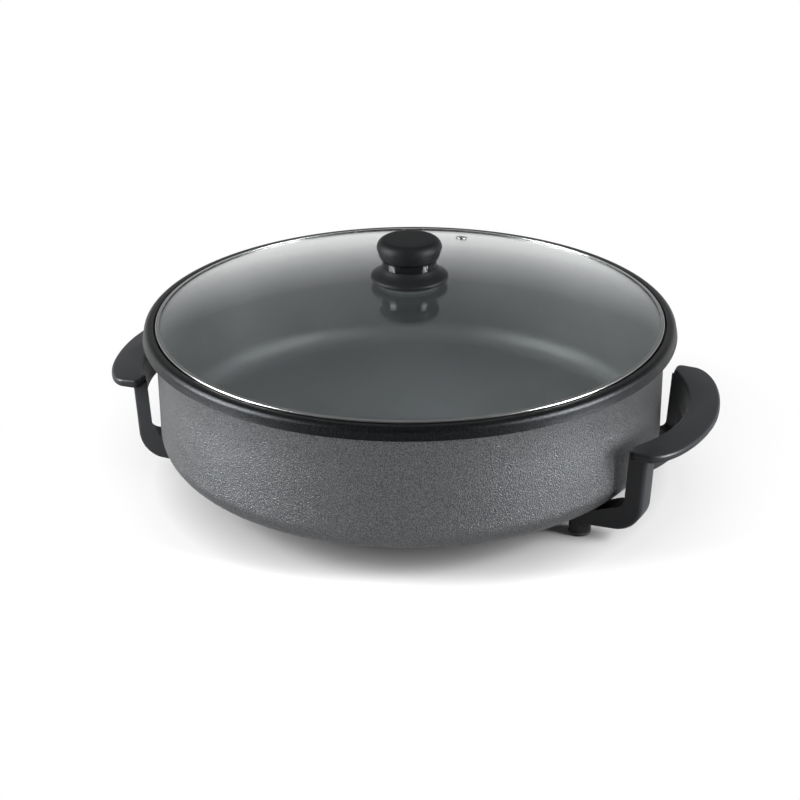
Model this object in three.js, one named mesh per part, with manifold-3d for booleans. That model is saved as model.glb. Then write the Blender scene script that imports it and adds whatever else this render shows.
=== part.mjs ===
// Round electric skillet: a deep pan on two moulded side handles with feet, and a lift-off glass lid.
// Millimetres, +Z up. The origin is on the ground at the pan's axis, and the handles lie along X.
import * as THREE from 'three';
import { mergeVertices } from 'three/addons/utils/BufferGeometryUtils.js';
import Module from 'manifold-3d';

const wasm = await Module();
wasm.setup();

// General clearances
const seatGap = 0.3;
const overrun = 2;
const weldDistance = 1e-4;

// Facets round a full turn
const bigTurn = 48;
const knobTurn = 24;
const smallTurn = 12;
const arcSteps = 4;

// Pan shell, a pressed aluminium pan with a stepped and turned-down rim
const groundClearance = 26.5;
const panRadius = 200.3;
const panWall = 2.8;
const panFloor = 3.2;
const panCorner = 21;
const ledgeHeight = 129;
const stepOut = 0.9;
const lipRise = 4.8;
const lipEdge = 0.8;
const rimSheet = 2.4;
const shoulderRound = 4.5;
const shoulderOut = 7.8;
const bandOut = 1;
const bandDrop = 9.6;

// Studs under the pan floor, and the screws that they take
const studRadius = 4;
const studLength = 4.2;
const threadRadius = 2;
const threadReach = 5;
const screwRadius = 1.7;
const screwHeadRadius = 4;
const screwHeadHeight = 2.6;
const headCrownShare = 0.7;

// Moulded handles: crescent grip, arched skirt, two legs with arms, and foot posts
const gripTopHeight = 83.6;
const gripThickness = 6.9;
const gripFallShare = 0.048;
const gripEdge = 2;
const gripUnderEdge = 1;
const gripOut = 13.5;
const gripHalfDepth = 33.4;
const gripHalfWidth = 85;
const gripFullnessShare = 1.8;
const gripTipInset = 1.3;
const gripTipRound = 5;
const fingerGap = 22.7;
const fingerArcRadius = 121;
const fingerEdge = 1.6;
const fingerLeanShare = 0.06;
const skirtWall = 3.2;
const skirtDepth = 26.6;
const legSideInset = 10.5;
const legWidth = 18.5;
const legOut = 9.7;
const legTaperShare = 0.045;
const legTurnShare = 0.16;
const legRound = 4;
const legLowerRoundShare = 0.35;
const legTopFillet = 8;
const legInnerFillet = 6;
const armCorner = 21;
const armDepth = 14.8;
const armRise = 4;
const armStepInset = 14;
const armStepLength = 12;
const postInset = 41;
const postRadius = 8.6;
const screwRecessRadius = 5.2;
const screwFloor = 6.8;
const pocketDepth = 2.8;
const pocketBorder = 3;
const ribWall = 2;
const ribCount = 5;
const ribSpacing = 20;

// Foot caps under the posts
const capHeight = 3.6;
const capEdge = 2.2;
const capSpigotRadius = 4.6;
const capSpigotLength = 3;

// Thermal disc under the pan floor
const discInset = 29.3;
const discThickness = 4;
const discEdge = 1;
const discBossRadius = 7;

// Heating element, a bent tube with two cold ends
const elementRadius = 3.3;
const elementInset = 38;
const elementBend = 14;
const coldEndSpacing = 28;
const coldEndGap = 8;
const elementSides = 6;
const elementSteps = 60;

// Clips that hold the element against the disc
const clipCount = 3;
const clipSheet = 1.2;
const clipGap = 0.8;
const clipFoot = 6;
const clipLength = 10;

// Terminals at the element's cold ends, and the sleeve for a temperature probe between them
const insulatorRadius = 4.6;
const insulatorLength = 9.5;
const pinRadius = 2.35;
const pinInset = 4;
const sleeveRadius = 4.4;
const sleeveBore = 3.2;
const sleeveGap = 0.5;
const sleeveLength = 39.5;
const sleeveEnd = 2;

// Steel guard round the terminals
const guardInset = 6.3;
const guardLength = 28;
const guardHalfWidth = 23;
const guardHeight = 18;
const guardSheet = 1;
const guardCorner = 3;
const tabWidth = 11;
const tabLength = 10;
const tabOffset = 2;
const guardScrewHeadRadius = 3;
const guardScrewHeadHeight = 1.8;
const guardScrewReach = 1.9;

// Steel cover under the thermal disc
const coverInset = 4;
const coverFlange = 6;
const coverSlope = 5;
const coverSheet = 1;
const coverDepth = 10.4;
const coverBead = 1.6;
const coverBeadShare = 0.575;
const coverBeadHalfWidth = 7;
const coverNotchHalfWidth = 24;
const coverNotchGap = 8;

// Glass lid and its steel rim
const lidClearance = 1.4;
const glassThickness = 3.6;
const glassRise = 28.2;
const glassEdgeGap = 1.4;
const glassSteps = 6;
const rimWall = 0.6;
const rimGrip = 2.4;
const rimBead = 0.6;
const ventPlaceShare = 0.741;
const ventTurn = 1.7;
const ventBore = 2;
const ventBarrel = 3.4;
const ventFlange = 4.9;
const ventFlangeHeight = 0.8;
const knobBore = 4;

// Knob and the parts that fasten it
const gasketThickness = 1.2;
const gasketRadius = 24;
const knobBaseRadius = 30.5;
const knobBaseEdge = 2.4;
const knobFlareMiddleRadius = 24.5;
const knobFlareMiddleHeight = 6.6;
const knobFlareHeight = 11.6;
const knobNeckRadius = 21.3;
const knobNeckHeight = 16.8;
const knobShoulderRadius = 23.4;
const knobShoulderHeight = 18.9;
const knobHeadRadius = 25.5;
const knobHeadHeight = 26.2;
const knobTopRadius = 19;
const knobHeight = 33.2;
const insertRadius = 4.2;
const insertLength = 11;
const insertBore = 2.8;
const lidScrewRadius = 2.4;
const lidScrewHead = 5;
const lidScrewHeadHeight = 3.2;
const lidScrewReach = 9;
const lidWasherRadius = 11;
const lidWasherThickness = 1.4;

// Places worked out from the sizes above
const seatHeight = groundClearance - seatGap;
const stepRadius = panRadius + stepOut;
const lipHeight = ledgeHeight + lipRise;
const shoulderRadius = stepRadius + shoulderOut;
const bandRadius = shoulderRadius + bandOut;
const bandLowerHeight = lipHeight - bandDrop;
const gripCentre = panRadius + gripOut;
const gripUnderHeight = gripTopHeight - gripThickness;
const fingerArcCentre = panRadius + fingerGap - fingerArcRadius;
const skirtLowerHeight = gripTopHeight - skirtDepth;
const gripTip = panRadius - gripTipInset;
const legOuter = panRadius + legOut;
const legOuterSide = gripHalfWidth - legSideInset;
const legMiddleSide = legOuterSide - legWidth / 2;
const armLowerHeight = seatHeight - armDepth;
const armTopHeight = groundClearance + armRise;
const armStepOuter = panRadius - armStepInset;
const postPlace = panRadius - postInset;
const studLowerHeight = groundClearance - studLength;
const screwRecessTop = studLowerHeight - screwFloor;
const discRadius = panRadius - panCorner - discInset;
const discLowerHeight = seatHeight - discThickness;
const guardOuter = panRadius - guardInset;
const guardInner = guardOuter - guardLength;
const guardLowerHeight = seatHeight - guardHeight;
const elementRing = discRadius - elementInset;
const coldEndReach = guardInner - coldEndGap;
const pinTip = guardOuter - pinInset;
const sleeveOuter = guardInner - sleeveGap;
const sleeveInner = sleeveOuter - sleeveLength;
const elementHeight = discLowerHeight - seatGap - elementRadius;
const sleeveHeight = discLowerHeight - seatGap - sleeveRadius;
const coverRadius = discRadius - coverInset;
const coverBeadRadius = coverRadius * coverBeadShare;
const coverNotchStart = sleeveInner - coverNotchGap;
const coverFloorUpper = discLowerHeight - seatGap - coverDepth;
const lidRimRadius = stepRadius - lidClearance;
const lidRimLower = ledgeHeight + seatGap;
const glassEdgeRadius = lidRimRadius - rimWall - glassEdgeGap;
const glassEdgeHeight = lidRimLower + rimWall + seatGap + glassThickness / 2;
const ventPlace = glassEdgeRadius * ventPlaceShare;
const glassCurve = (glassEdgeRadius ** 2 + glassRise ** 2) / (2 * glassRise);
const glassTopHeight = glassEdgeHeight + glassRise + glassThickness / 2;
const gasketLower = glassTopHeight + seatGap;
const knobLower = gasketLower + gasketThickness + seatGap;

// Finishes
function finish(color, roughness, metalness) {
  return new THREE.MeshStandardMaterial({ color, roughness, metalness });
}
const coatedAluminium = finish(0x5c6064, 0.5, 0.3);
const bareAluminium = finish(0xb4b7ba, 0.45, 0.9);
const steel = finish(0xc4c7c9, 0.3, 1);
const blackPlastic = finish(0x26282b, 0.5, 0);
const blackRubber = finish(0x17181a, 0.8, 0);
const clearGlass = finish(0xdfe8e6, 0.05, 0);
const ceramicWhite = finish(0xe8e4da, 0.6, 0);
const brass = finish(0xb9974f, 0.35, 1);
const siliconeGrey = finish(0x8c8f90, 0.7, 0);

// Turns a closed three.js geometry into a solid with its faces outwards
function toSolid(geometry) {
  const bare = geometry.clone();
  bare.deleteAttribute('normal');
  bare.deleteAttribute('uv');
  const welded = mergeVertices(bare, weldDistance);
  const points = welded.attributes.position.array;
  const faces = [];
  for (let i = 0; i < welded.index.count; i += 3) {
    const [a, b, c] = [0, 1, 2].map((k) => welded.index.array[i + k]);
    if (a !== b && b !== c && c !== a) faces.push([a, b, c]);
  }
  const corner = (i) => new THREE.Vector3().fromArray(points, 3 * i);
  const volume = faces.reduce((sum, [a, b, c]) => sum + corner(a).dot(corner(b).cross(corner(c))), 0);
  const ordered = volume < 0 ? faces.map(([a, b, c]) => [a, c, b]) : faces;
  return new wasm.Manifold(new wasm.Mesh({
    numProp: 3,
    vertProperties: Float32Array.from(points),
    triVerts: Uint32Array.from(ordered.flat()),
  }));
}

// Turns a solid back into a three.js geometry
function toGeometry(solid) {
  const { vertProperties, triVerts } = solid.getMesh();
  const geometry = new THREE.BufferGeometry();
  geometry.setAttribute('position', new THREE.BufferAttribute(vertProperties, 3));
  geometry.setIndex(new THREE.BufferAttribute(triVerts, 1));
  geometry.computeVertexNormals();
  return geometry;
}

function join(solids) {
  return solids.reduce((whole, next) => whole.add(next));
}

function cut(solid, tools) {
  return tools.reduce((rest, tool) => rest.subtract(tool), solid);
}

// Points of a circular arc in a profile, angles in degrees
function arc(centreX, centreY, radius, from, to, steps = arcSteps) {
  return Array.from({ length: steps + 1 }, (_, i) => {
    const angle = THREE.MathUtils.degToRad(from + ((to - from) * i) / steps);
    return [centreX + radius * Math.cos(angle), centreY + radius * Math.sin(angle)];
  });
}

// A closed profile of [radius, height] turned about the Z axis
function turned(profile, turn) {
  const outline = profile.map(([r, z]) => new THREE.Vector2(r, z));
  const first = outline[0];
  const last = outline[outline.length - 1];
  if (first.x !== 0 || last.x !== 0) outline.push(first.clone());
  return toSolid(new THREE.LatheGeometry(outline, turn).rotateX(Math.PI / 2));
}

function post(x, y, radius, low, high, turn = smallTurn) {
  const geometry = new THREE.CylinderGeometry(radius, radius, high - low, turn);
  return toSolid(geometry.rotateX(Math.PI / 2).translate(x, y, (low + high) / 2));
}

// A round bar along Y
function bar(radius, near, far, turn = smallTurn) {
  const geometry = new THREE.CylinderGeometry(radius, radius, far - near, turn);
  return toSolid(geometry.translate(0, (near + far) / 2, 0));
}

function moved(solid, x, y, z = 0) {
  return toSolid(toGeometry(solid).translate(x, y, z));
}

function block(low, high) {
  const size = high.map((value, i) => value - low[i]);
  const middle = high.map((value, i) => (value + low[i]) / 2);
  return toSolid(new THREE.BoxGeometry(...size).translate(...middle));
}

// An outline of [x, y] points raised from one height to another
function raised(outline, low, high) {
  const shape = new THREE.Shape(outline.map(([x, y]) => new THREE.Vector2(x, y)));
  const geometry = new THREE.ExtrudeGeometry(shape, { depth: high - low, bevelEnabled: false, steps: 1 });
  return toSolid(geometry.translate(0, 0, low));
}

// Outlines of the same number of [x, y, z] points, joined by walls and closed by flat ends.
// flatten picks the two places of a point that show the outline's shape
function lofted(levels, flatten = ([x, y]) => [x, y]) {
  const count = levels[0].length;
  const upper = count * (levels.length - 1);
  const points = levels.flat(2);
  const end = (level) => THREE.ShapeUtils.triangulateShape(
    level.map((point) => new THREE.Vector2(...flatten(point))), []);
  const faces = [
    ...end(levels[0]).flatMap(([a, b, c]) => [a, c, b]),
    ...end(levels[levels.length - 1]).flatMap(([a, b, c]) => [upper + a, upper + b, upper + c]),
  ];
  for (let level = 0; level < levels.length - 1; level += 1) {
    for (let i = 0; i < count; i += 1) {
      const here = level * count + i;
      const next = level * count + ((i + 1) % count);
      faces.push(here, next, here + count, next, next + count, here + count);
    }
  }
  const geometry = new THREE.BufferGeometry();
  geometry.setAttribute('position', new THREE.Float32BufferAttribute(points, 3));
  geometry.setIndex(faces);
  return toSolid(geometry);
}

// An outline of [x, z] points drawn from the front and stretched along Y
function standing(outline, near, far) {
  const shape = new THREE.Shape(outline.map(([x, z]) => new THREE.Vector2(x, z)));
  const geometry = new THREE.ExtrudeGeometry(shape, { depth: far - near, bevelEnabled: false, steps: 1 });
  return toSolid(geometry.rotateX(Math.PI / 2).translate(0, far, 0));
}

// Height of the glass at a radius; offset is the distance from its middle surface
function glassHeight(radius, offset) {
  const curve = glassCurve + offset;
  return glassEdgeHeight + glassRise - glassCurve + Math.sqrt(curve ** 2 - radius ** 2);
}

// Turns a piece drawn round the Z axis square to the glass, and puts it at the vent's place
function tiltedAtVent(solid) {
  const tilt = Math.asin(ventPlace / glassCurve);
  const geometry = toGeometry(solid).rotateX(-tilt);
  geometry.translate(0, ventPlace, glassHeight(ventPlace, 0));
  return toSolid(geometry.rotateZ(THREE.MathUtils.degToRad(ventTurn)));
}

function addPiece(parent, name, solid, material) {
  const mesh = new THREE.Mesh(toGeometry(solid), material);
  mesh.name = name;
  parent.add(mesh);
  return mesh;
}

// Places of the four foot posts, two at each handle
const postPlaces = [];
for (const [hand, end] of [['right', 1], ['left', -1]]) {
  for (const [row, side] of [['front', -1], ['rear', 1]]) {
    postPlaces.push({ name: `${hand}_${row}`, x: end * postPlace, y: side * legMiddleSide });
  }
}

// The guard's two screws
const guardScrewPlaces = [['left', -1], ['right', 1]].map(([name, side]) => ({
  name,
  x: side * (guardHalfWidth + tabWidth / 2),
  y: guardInner + tabOffset + tabLength / 2,
}));

// Pan shell
function makePanShell() {
  const inside = panRadius - panWall;
  const cornerCentre = panRadius - panCorner;
  const floorTop = groundClearance + panFloor;
  const innerCorner = panCorner - panWall;
  const profile = [
    [0, groundClearance],
    ...arc(cornerCentre, groundClearance + panCorner, panCorner, -90, 0),
    [panRadius, ledgeHeight - rimSheet],
    [stepRadius + rimSheet, ledgeHeight - rimSheet],
    [stepRadius + rimSheet, lipHeight - rimSheet],
    [shoulderRadius - rimSheet - shoulderRound / 2, lipHeight - rimSheet],
    [shoulderRadius - rimSheet, lipHeight - shoulderRound],
    [bandRadius - rimSheet, bandLowerHeight],
    [bandRadius, bandLowerHeight],
    ...arc(shoulderRadius - shoulderRound, lipHeight - shoulderRound, shoulderRound, 0, 90, 4),
    [stepRadius + lipEdge, lipHeight],
    [stepRadius, lipHeight - lipEdge],
    [stepRadius, ledgeHeight],
    [inside, ledgeHeight],
    ...arc(inside - innerCorner, floorTop + innerCorner, innerCorner, 0, -90),
    [0, floorTop],
  ];
  const studs = postPlaces.map(({ x, y }) =>
    post(x, y, studRadius, studLowerHeight, groundClearance + panFloor / 2));
  const threads = postPlaces.map(({ x, y }) =>
    post(x, y, threadRadius, studLowerHeight - overrun,
      studLowerHeight + threadReach));
  const tabHoles = guardScrewPlaces.map(({ x, y }) =>
    post(x, y, threadRadius, groundClearance - overrun, groundClearance + guardScrewReach + seatGap));
  return cut(join([turned(profile, bigTurn), ...studs]), [...threads, ...tabHoles]);
}

// Outline of the grip from above, drawn in by a distance: a full flank and two blunt tips
function gripOutline(inset) {
  const power = 2 / gripFullnessShare;
  const flank = arc(0, 0, 1, -90, 90, 5 * arcSteps).map(([x, y]) => [
    gripCentre + (gripHalfDepth - inset) * Math.max(x, 0) ** power,
    (gripHalfWidth - inset) * Math.sign(y) * Math.abs(y) ** power,
  ]);
  const tipSide = gripHalfWidth - gripTipRound;
  return [
    ...flank,
    ...arc(gripTip + gripTipRound, tipSide, gripTipRound - inset, 90, 180, 3),
    ...arc(gripTip + gripTipRound, -tipSide, gripTipRound - inset, 180, 270, 3),
  ];
}

// Grip's outline at a height; share is how much of the top's fall towards the outside it has
function gripLevel(inset, height, share) {
  return gripOutline(inset).map(([x, y]) => [x, y, height - share * gripFallShare * (x - gripTip)]);
}

// Wedge about the finger arc's centre at a height; lower down it lies nearer to the pan
function fingerOutline(radius, height) {
  const centre = fingerArcCentre - fingerLeanShare * (gripTopHeight - height);
  const points = [[centre, 0], ...arc(centre, 0, radius, -60, 60, 8 * arcSteps)];
  return points.map(([x, y]) => [x, y, height]);
}

// Outline of the pocket under the grip, between the skirt and the two legs
function pocketOutline() {
  const end = legOuterSide - legWidth - pocketBorder;
  const halfDepth = gripHalfDepth - pocketBorder - gripEdge;
  const halfWidth = gripHalfWidth - pocketBorder - gripEdge;
  const outerAngle = THREE.MathUtils.radToDeg(Math.asin(end / halfWidth));
  const innerRadius = fingerArcRadius + skirtWall;
  const innerAngle = THREE.MathUtils.radToDeg(Math.asin(end / innerRadius));
  const outer = arc(0, 0, 1, -outerAngle, outerAngle, 3 * arcSteps);
  return [
    ...outer.map(([x, y]) => [gripCentre + halfDepth * x, halfWidth * y]),
    ...arc(fingerArcCentre, 0, innerRadius, innerAngle, -innerAngle, 3 * arcSteps),
  ];
}

// One leg with its arm, seen from the side; its outer edge is drawn in by a distance
function legOutline(inset) {
  const elbowTop = armLowerHeight + armCorner;
  const elbowOuter = legOuter - legTaperShare * (gripUnderHeight - elbowTop);
  const lowerInset = legLowerRoundShare * inset;
  const elbow = arc(0, 0, 1, -90, 0).map(([x, z]) => [
    elbowOuter - armCorner + (armCorner - inset) * x,
    elbowTop + (armCorner - lowerInset) * z,
  ]);
  const flare = arc(0, 0, 1, 180, 90).map(([x, z]) => [
    legOuter + legTopFillet + (legTopFillet + inset) * x,
    gripUnderHeight - legTopFillet + legTopFillet * z,
  ]);
  return [
    [postPlace, armLowerHeight + lowerInset],
    ...elbow,
    ...flare,
    [legOuter + legTopFillet, gripTopHeight - 2 * gripEdge],
    [armStepOuter, gripTopHeight - 2 * gripEdge],
    [armStepOuter, armTopHeight],
    [armStepOuter - armStepLength, seatHeight],
    [postPlace, seatHeight],
  ];
}

// A leg that stands further out towards the handle's middle, rounded where it looks away from it
function makeLeg(side) {
  const levels = [
    [0, legOuterSide - legWidth],
    ...arc(legRound, legOuterSide - legRound, legRound, 180, 90, 3),
  ].map(([inset, place]) => {
    const turnedOut = legTurnShare * (legOuterSide - place);
    return legOutline(inset).map(([x, z]) => [x + turnedOut, side * place, z]);
  });
  return lofted(levels, ([x, , z]) => [x, z]);
}

// Moulded handle, drawn at the +X side
function makeHandle() {
  const grip = lofted([
    ...arc(gripUnderEdge, gripUnderHeight + gripUnderEdge, gripUnderEdge, 270, 180, 2)
      .map(([inset, height]) => gripLevel(inset, height, 0)),
    ...arc(gripEdge, gripTopHeight - gripEdge, gripEdge, 180, 90, 3)
      .map(([inset, height]) => gripLevel(inset, height, 1)),
  ]);
  const pocketTop = gripUnderHeight + pocketDepth;
  const skirtCurve = lofted([skirtLowerHeight, pocketTop].map((height) =>
    fingerOutline(fingerArcRadius + skirtWall, height)));
  const skirt = skirtCurve.intersect(block(
    [armStepOuter, -legMiddleSide, skirtLowerHeight],
    [gripCentre + gripHalfDepth, legMiddleSide, pocketTop],
  ));
  const pocket = raised(pocketOutline(), gripUnderHeight - overrun, pocketTop);
  const ribs = Array.from({ length: ribCount }, (_, i) => {
    const middle = (i - (ribCount - 1) / 2) * ribSpacing;
    return block(
      [fingerArcCentre, middle - ribWall / 2, gripUnderHeight - overrun],
      [gripCentre + gripHalfDepth, middle + ribWall / 2, pocketTop + overrun],
    );
  });
  const legs = [-1, 1].map((side) => makeLeg(side));
  const posts = [-1, 1].map((side) =>
    post(postPlace, side * legMiddleSide, postRadius, capHeight + seatGap, seatHeight, 2 * smallTurn));
  const hollow = cut(pocket, ribs);
  const filletRadius = fingerArcRadius - legInnerFillet;
  const edgeRadius = fingerArcRadius + fingerEdge;
  const fingerSpace = lofted([
    ...arc(filletRadius, armTopHeight + legInnerFillet, legInnerFillet, -90, 0, 2),
    ...arc(edgeRadius, gripTopHeight - fingerEdge, fingerEdge, 180, 90, 2),
    [edgeRadius, gripTopHeight + overrun],
  ].map(([radius, height]) => fingerOutline(radius, height)));
  const moulding = join([grip.subtract(hollow), skirt, ...legs]);
  const body = join([moulding.subtract(fingerSpace), ...posts]);
  const bores = [-1, 1].flatMap((side) => {
    const y = side * legMiddleSide;
    return [
      post(postPlace, y, studRadius + seatGap, studLowerHeight - seatGap,
        groundClearance + overrun),
      post(postPlace, y, screwRadius + seatGap, capHeight, groundClearance),
      post(postPlace, y, screwRecessRadius, capHeight - overrun, screwRecessTop),
    ];
  });
  return cut(body, bores);
}

// A pan-head screw that points up; seat is the height of the underside of its head
function makeScrew(shank, head, headHeight, seat, tip) {
  return turned([
    [0, seat - headHeight],
    [head * headCrownShare, seat - headHeight],
    [head, seat - headHeight / 2],
    [head, seat],
    [shank, seat],
    [shank, tip],
    [0, tip],
  ], smallTurn);
}

function makeHandleScrew() {
  const tip = studLowerHeight + threadReach - seatGap;
  return makeScrew(screwRadius, screwHeadRadius, screwHeadHeight, screwRecessTop - seatGap, tip);
}

// Rubber cap with a spigot that plugs the screw recess of a foot post
function makeFootCap() {
  const edgeCentre = postRadius - capEdge;
  return turned([
    [0, 0],
    [edgeCentre, 0],
    ...arc(edgeCentre, capEdge, capEdge, -60, 0, 3),
    [postRadius, capHeight],
    [capSpigotRadius, capHeight],
    [capSpigotRadius, capHeight + capSpigotLength],
    [0, capHeight + capSpigotLength],
  ], smallTurn);
}

// Thermal disc with a boss in its middle for the cover's screw
function makeDisc() {
  const bossEnd = coverFloorUpper + seatGap;
  const disc = turned([
    [0, bossEnd],
    [discBossRadius, bossEnd],
    [discBossRadius, discLowerHeight],
    [discRadius - discEdge, discLowerHeight],
    [discRadius, discLowerHeight + discEdge],
    [discRadius, seatHeight],
    [0, seatHeight],
  ], bigTurn);
  return disc.subtract(post(0, 0, threadRadius, bossEnd - overrun, bossEnd + threadReach));
}

// Heating element: in along one cold end, round the ring, and out along the other
function makeElement() {
  const half = coldEndSpacing / 2;
  const bendX = half + elementBend;
  const bendY = Math.sqrt((elementRing + elementBend) ** 2 - bendX ** 2);
  const joinAngle = THREE.MathUtils.radToDeg(Math.atan2(bendY, bendX));
  const rightHalf = [
    [half, coldEndReach],
    [half, (coldEndReach + bendY) / 2],
    ...arc(bendX, bendY, elementBend, 180, 180 + joinAngle),
    ...arc(0, 0, elementRing, joinAngle, -90, 6 * arcSteps).slice(1),
  ];
  const leftHalf = rightHalf.slice(0, -1).reverse().map(([x, y]) => [-x, y]);
  const route = [...rightHalf, ...leftHalf].map(([x, y]) => new THREE.Vector3(x, y, elementHeight));
  const section = new THREE.Shape(arc(0, 0, elementRadius, 0, 360, elementSides)
    .slice(1).map(([x, y]) => new THREE.Vector2(x, y)));
  return toSolid(new THREE.ExtrudeGeometry(section, {
    extrudePath: new THREE.CatmullRomCurve3(route, false, 'centripetal'),
    steps: elementSteps,
  }));
}

// Strap that holds the element up against the disc
function makeClip() {
  const inner = elementRadius + clipGap;
  const outer = inner + clipSheet;
  const top = discLowerHeight - seatGap;
  const outline = [
    [-outer - clipFoot, top],
    [-outer - clipFoot, top - clipSheet],
    [-outer, top - clipSheet],
    ...arc(0, elementHeight, outer, 180, 360),
    [outer, top - clipSheet],
    [outer + clipFoot, top - clipSheet],
    [outer + clipFoot, top],
    [inner, top],
    ...arc(0, elementHeight, inner, 360, 180),
    [-inner, top],
  ];
  const strap = standing(outline, -clipLength / 2, clipLength / 2);
  return moved(strap, elementRing, 0);
}

function makeInsulator() {
  const near = coldEndReach + seatGap;
  const sleeve = bar(insulatorRadius, near, near + insulatorLength);
  return sleeve.subtract(bar(pinRadius + seatGap, near - overrun, near + insulatorLength + overrun));
}

function makeProbeSleeve() {
  const tube = bar(sleeveRadius, sleeveInner, sleeveOuter);
  return tube.subtract(bar(sleeveBore, sleeveInner + sleeveEnd, sleeveOuter + overrun));
}

// Outline of a rectangle with rounded corners, standing in the XZ plane
function roundedSection(halfWidth, low, high, radius) {
  const right = halfWidth - radius;
  return [
    ...arc(right, low + radius, radius, -90, 0, 3),
    ...arc(right, high - radius, radius, 0, 90, 3),
    ...arc(-right, high - radius, radius, 90, 180, 3),
    ...arc(-right, low + radius, radius, 180, 270, 3),
  ];
}

// Steel guard: an open-ended box round the terminals, with two screw tabs
function makeGuard() {
  const outside = roundedSection(guardHalfWidth, guardLowerHeight, seatHeight, guardCorner);
  const inside = roundedSection(
    guardHalfWidth - guardSheet, guardLowerHeight + guardSheet, seatHeight - guardSheet,
    guardCorner - guardSheet,
  );
  const shell = standing(outside, guardInner, guardOuter);
  const hollow = standing(inside, guardInner + guardSheet, guardOuter + overrun);
  const tabs = guardScrewPlaces.map(({ x, y }) => {
    const reach = tabWidth / 2 + guardCorner;
    const inward = x > 0 ? reach : tabWidth / 2;
    const outward = x > 0 ? tabWidth / 2 : reach;
    return block(
      [x - inward, y - tabLength / 2, seatHeight - guardSheet],
      [x + outward, y + tabLength / 2, seatHeight],
    );
  });
  const holes = guardScrewPlaces.map(({ x, y }) =>
    post(x, y, screwRadius + seatGap, seatHeight - guardSheet - overrun, seatHeight + overrun));
  const passages = [
    ...[-1, 1].map((side) => moved(
      bar(insulatorRadius + seatGap, guardInner - overrun, guardInner + guardSheet + overrun),
      (side * coldEndSpacing) / 2, 0, elementHeight,
    )),
    moved(bar(sleeveBore, guardInner - overrun, guardInner + guardSheet + overrun), 0, 0, sleeveHeight),
  ];
  return cut(join([cut(shell, [hollow]), ...tabs]), [hollow, ...holes, ...passages]);
}

function makeGuardScrew() {
  const seat = seatHeight - guardSheet - seatGap;
  const tip = groundClearance + guardScrewReach;
  return makeScrew(screwRadius, guardScrewHeadRadius, guardScrewHeadHeight, seat, tip);
}

// Pressed steel cover under the thermal disc, notched where the cold ends and the sleeve leave
function makeCover() {
  const floorRadius = coverRadius - coverFlange - coverSlope;
  const beadInner = coverBeadRadius - coverBeadHalfWidth;
  const beadOuter = coverBeadRadius + coverBeadHalfWidth;
  const top = discLowerHeight - seatGap;
  const lower = [
    [0, 0],
    [beadInner, 0],
    [beadInner + coverBead, coverBead],
    [beadOuter - coverBead, coverBead],
    [beadOuter, 0],
    [floorRadius, 0],
    [floorRadius + coverSlope, coverDepth],
    [coverRadius, coverDepth],
  ];
  const dish = turned([
    ...lower.map(([r, rise]) => [r, top - coverDepth - coverSheet + rise]),
    ...lower.map(([r, rise]) => [r, top - coverDepth + rise]).reverse(),
  ], bigTurn);
  const notch = block(
    [-coverNotchHalfWidth, coverNotchStart, coverFloorUpper],
    [coverNotchHalfWidth, coverRadius + overrun, top + overrun],
  );
  const hole = post(0, 0, screwRadius + seatGap, coverFloorUpper - coverSheet - overrun, top);
  return cut(dish, [notch, hole]);
}

function makeCoverScrew() {
  const seat = coverFloorUpper - coverSheet - seatGap;
  const tip = coverFloorUpper + seatGap + threadReach - seatGap;
  return makeScrew(screwRadius, screwHeadRadius, screwHeadHeight, seat, tip);
}

// Domed glass with bores for the knob's screw and the steam vent
function makeGlass() {
  const radii = Array.from({ length: glassSteps + 1 }, (_, i) => (glassEdgeRadius * i) / glassSteps);
  const under = radii.map((r) => [r, glassHeight(r, -glassThickness / 2)]);
  const over = radii.map((r) => [r, glassHeight(r, glassThickness / 2)]).reverse();
  const ventBoreTool = tiltedAtVent(turned([
    [0, -glassThickness],
    [ventBarrel + seatGap, -glassThickness],
    [ventBarrel + seatGap, glassThickness],
    [0, glassThickness],
  ], smallTurn));
  const knobBoreTool = post(0, 0, knobBore, glassTopHeight - 2 * glassThickness, glassTopHeight + overrun);
  return cut(turned([...under, ...over], bigTurn), [ventBoreTool, knobBoreTool]);
}

// Rolled steel channel that holds the edge of the glass
function makeLidRim() {
  const gripInner = lidRimRadius - rimWall - rimGrip;
  const over = (r) => glassHeight(r, glassThickness / 2) + seatGap;
  const shoulder = over(glassEdgeRadius);
  return turned([
    [gripInner, lidRimLower],
    [lidRimRadius - rimBead, lidRimLower],
    [lidRimRadius, lidRimLower + rimBead],
    [lidRimRadius, shoulder + rimWall - rimBead],
    [lidRimRadius - rimBead, shoulder + rimWall],
    [gripInner, over(gripInner) + rimWall],
    [gripInner, over(gripInner)],
    [glassEdgeRadius, shoulder],
    [lidRimRadius - rimWall, shoulder],
    [lidRimRadius - rimWall, lidRimLower + rimWall],
    [gripInner, lidRimLower + rimWall],
  ], bigTurn);
}

// Steel eyelet through the glass, square to its surface
function makeVent() {
  const face = glassThickness / 2 + seatGap;
  const end = face + ventFlangeHeight;
  return tiltedAtVent(turned([
    [ventBore, -end],
    [ventFlange, -end],
    [ventFlange, -face],
    [ventBarrel, -face],
    [ventBarrel, face],
    [ventFlange, face],
    [(ventFlange + ventBarrel) / 2, end],
    [ventBore, end],
  ], smallTurn));
}

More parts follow.
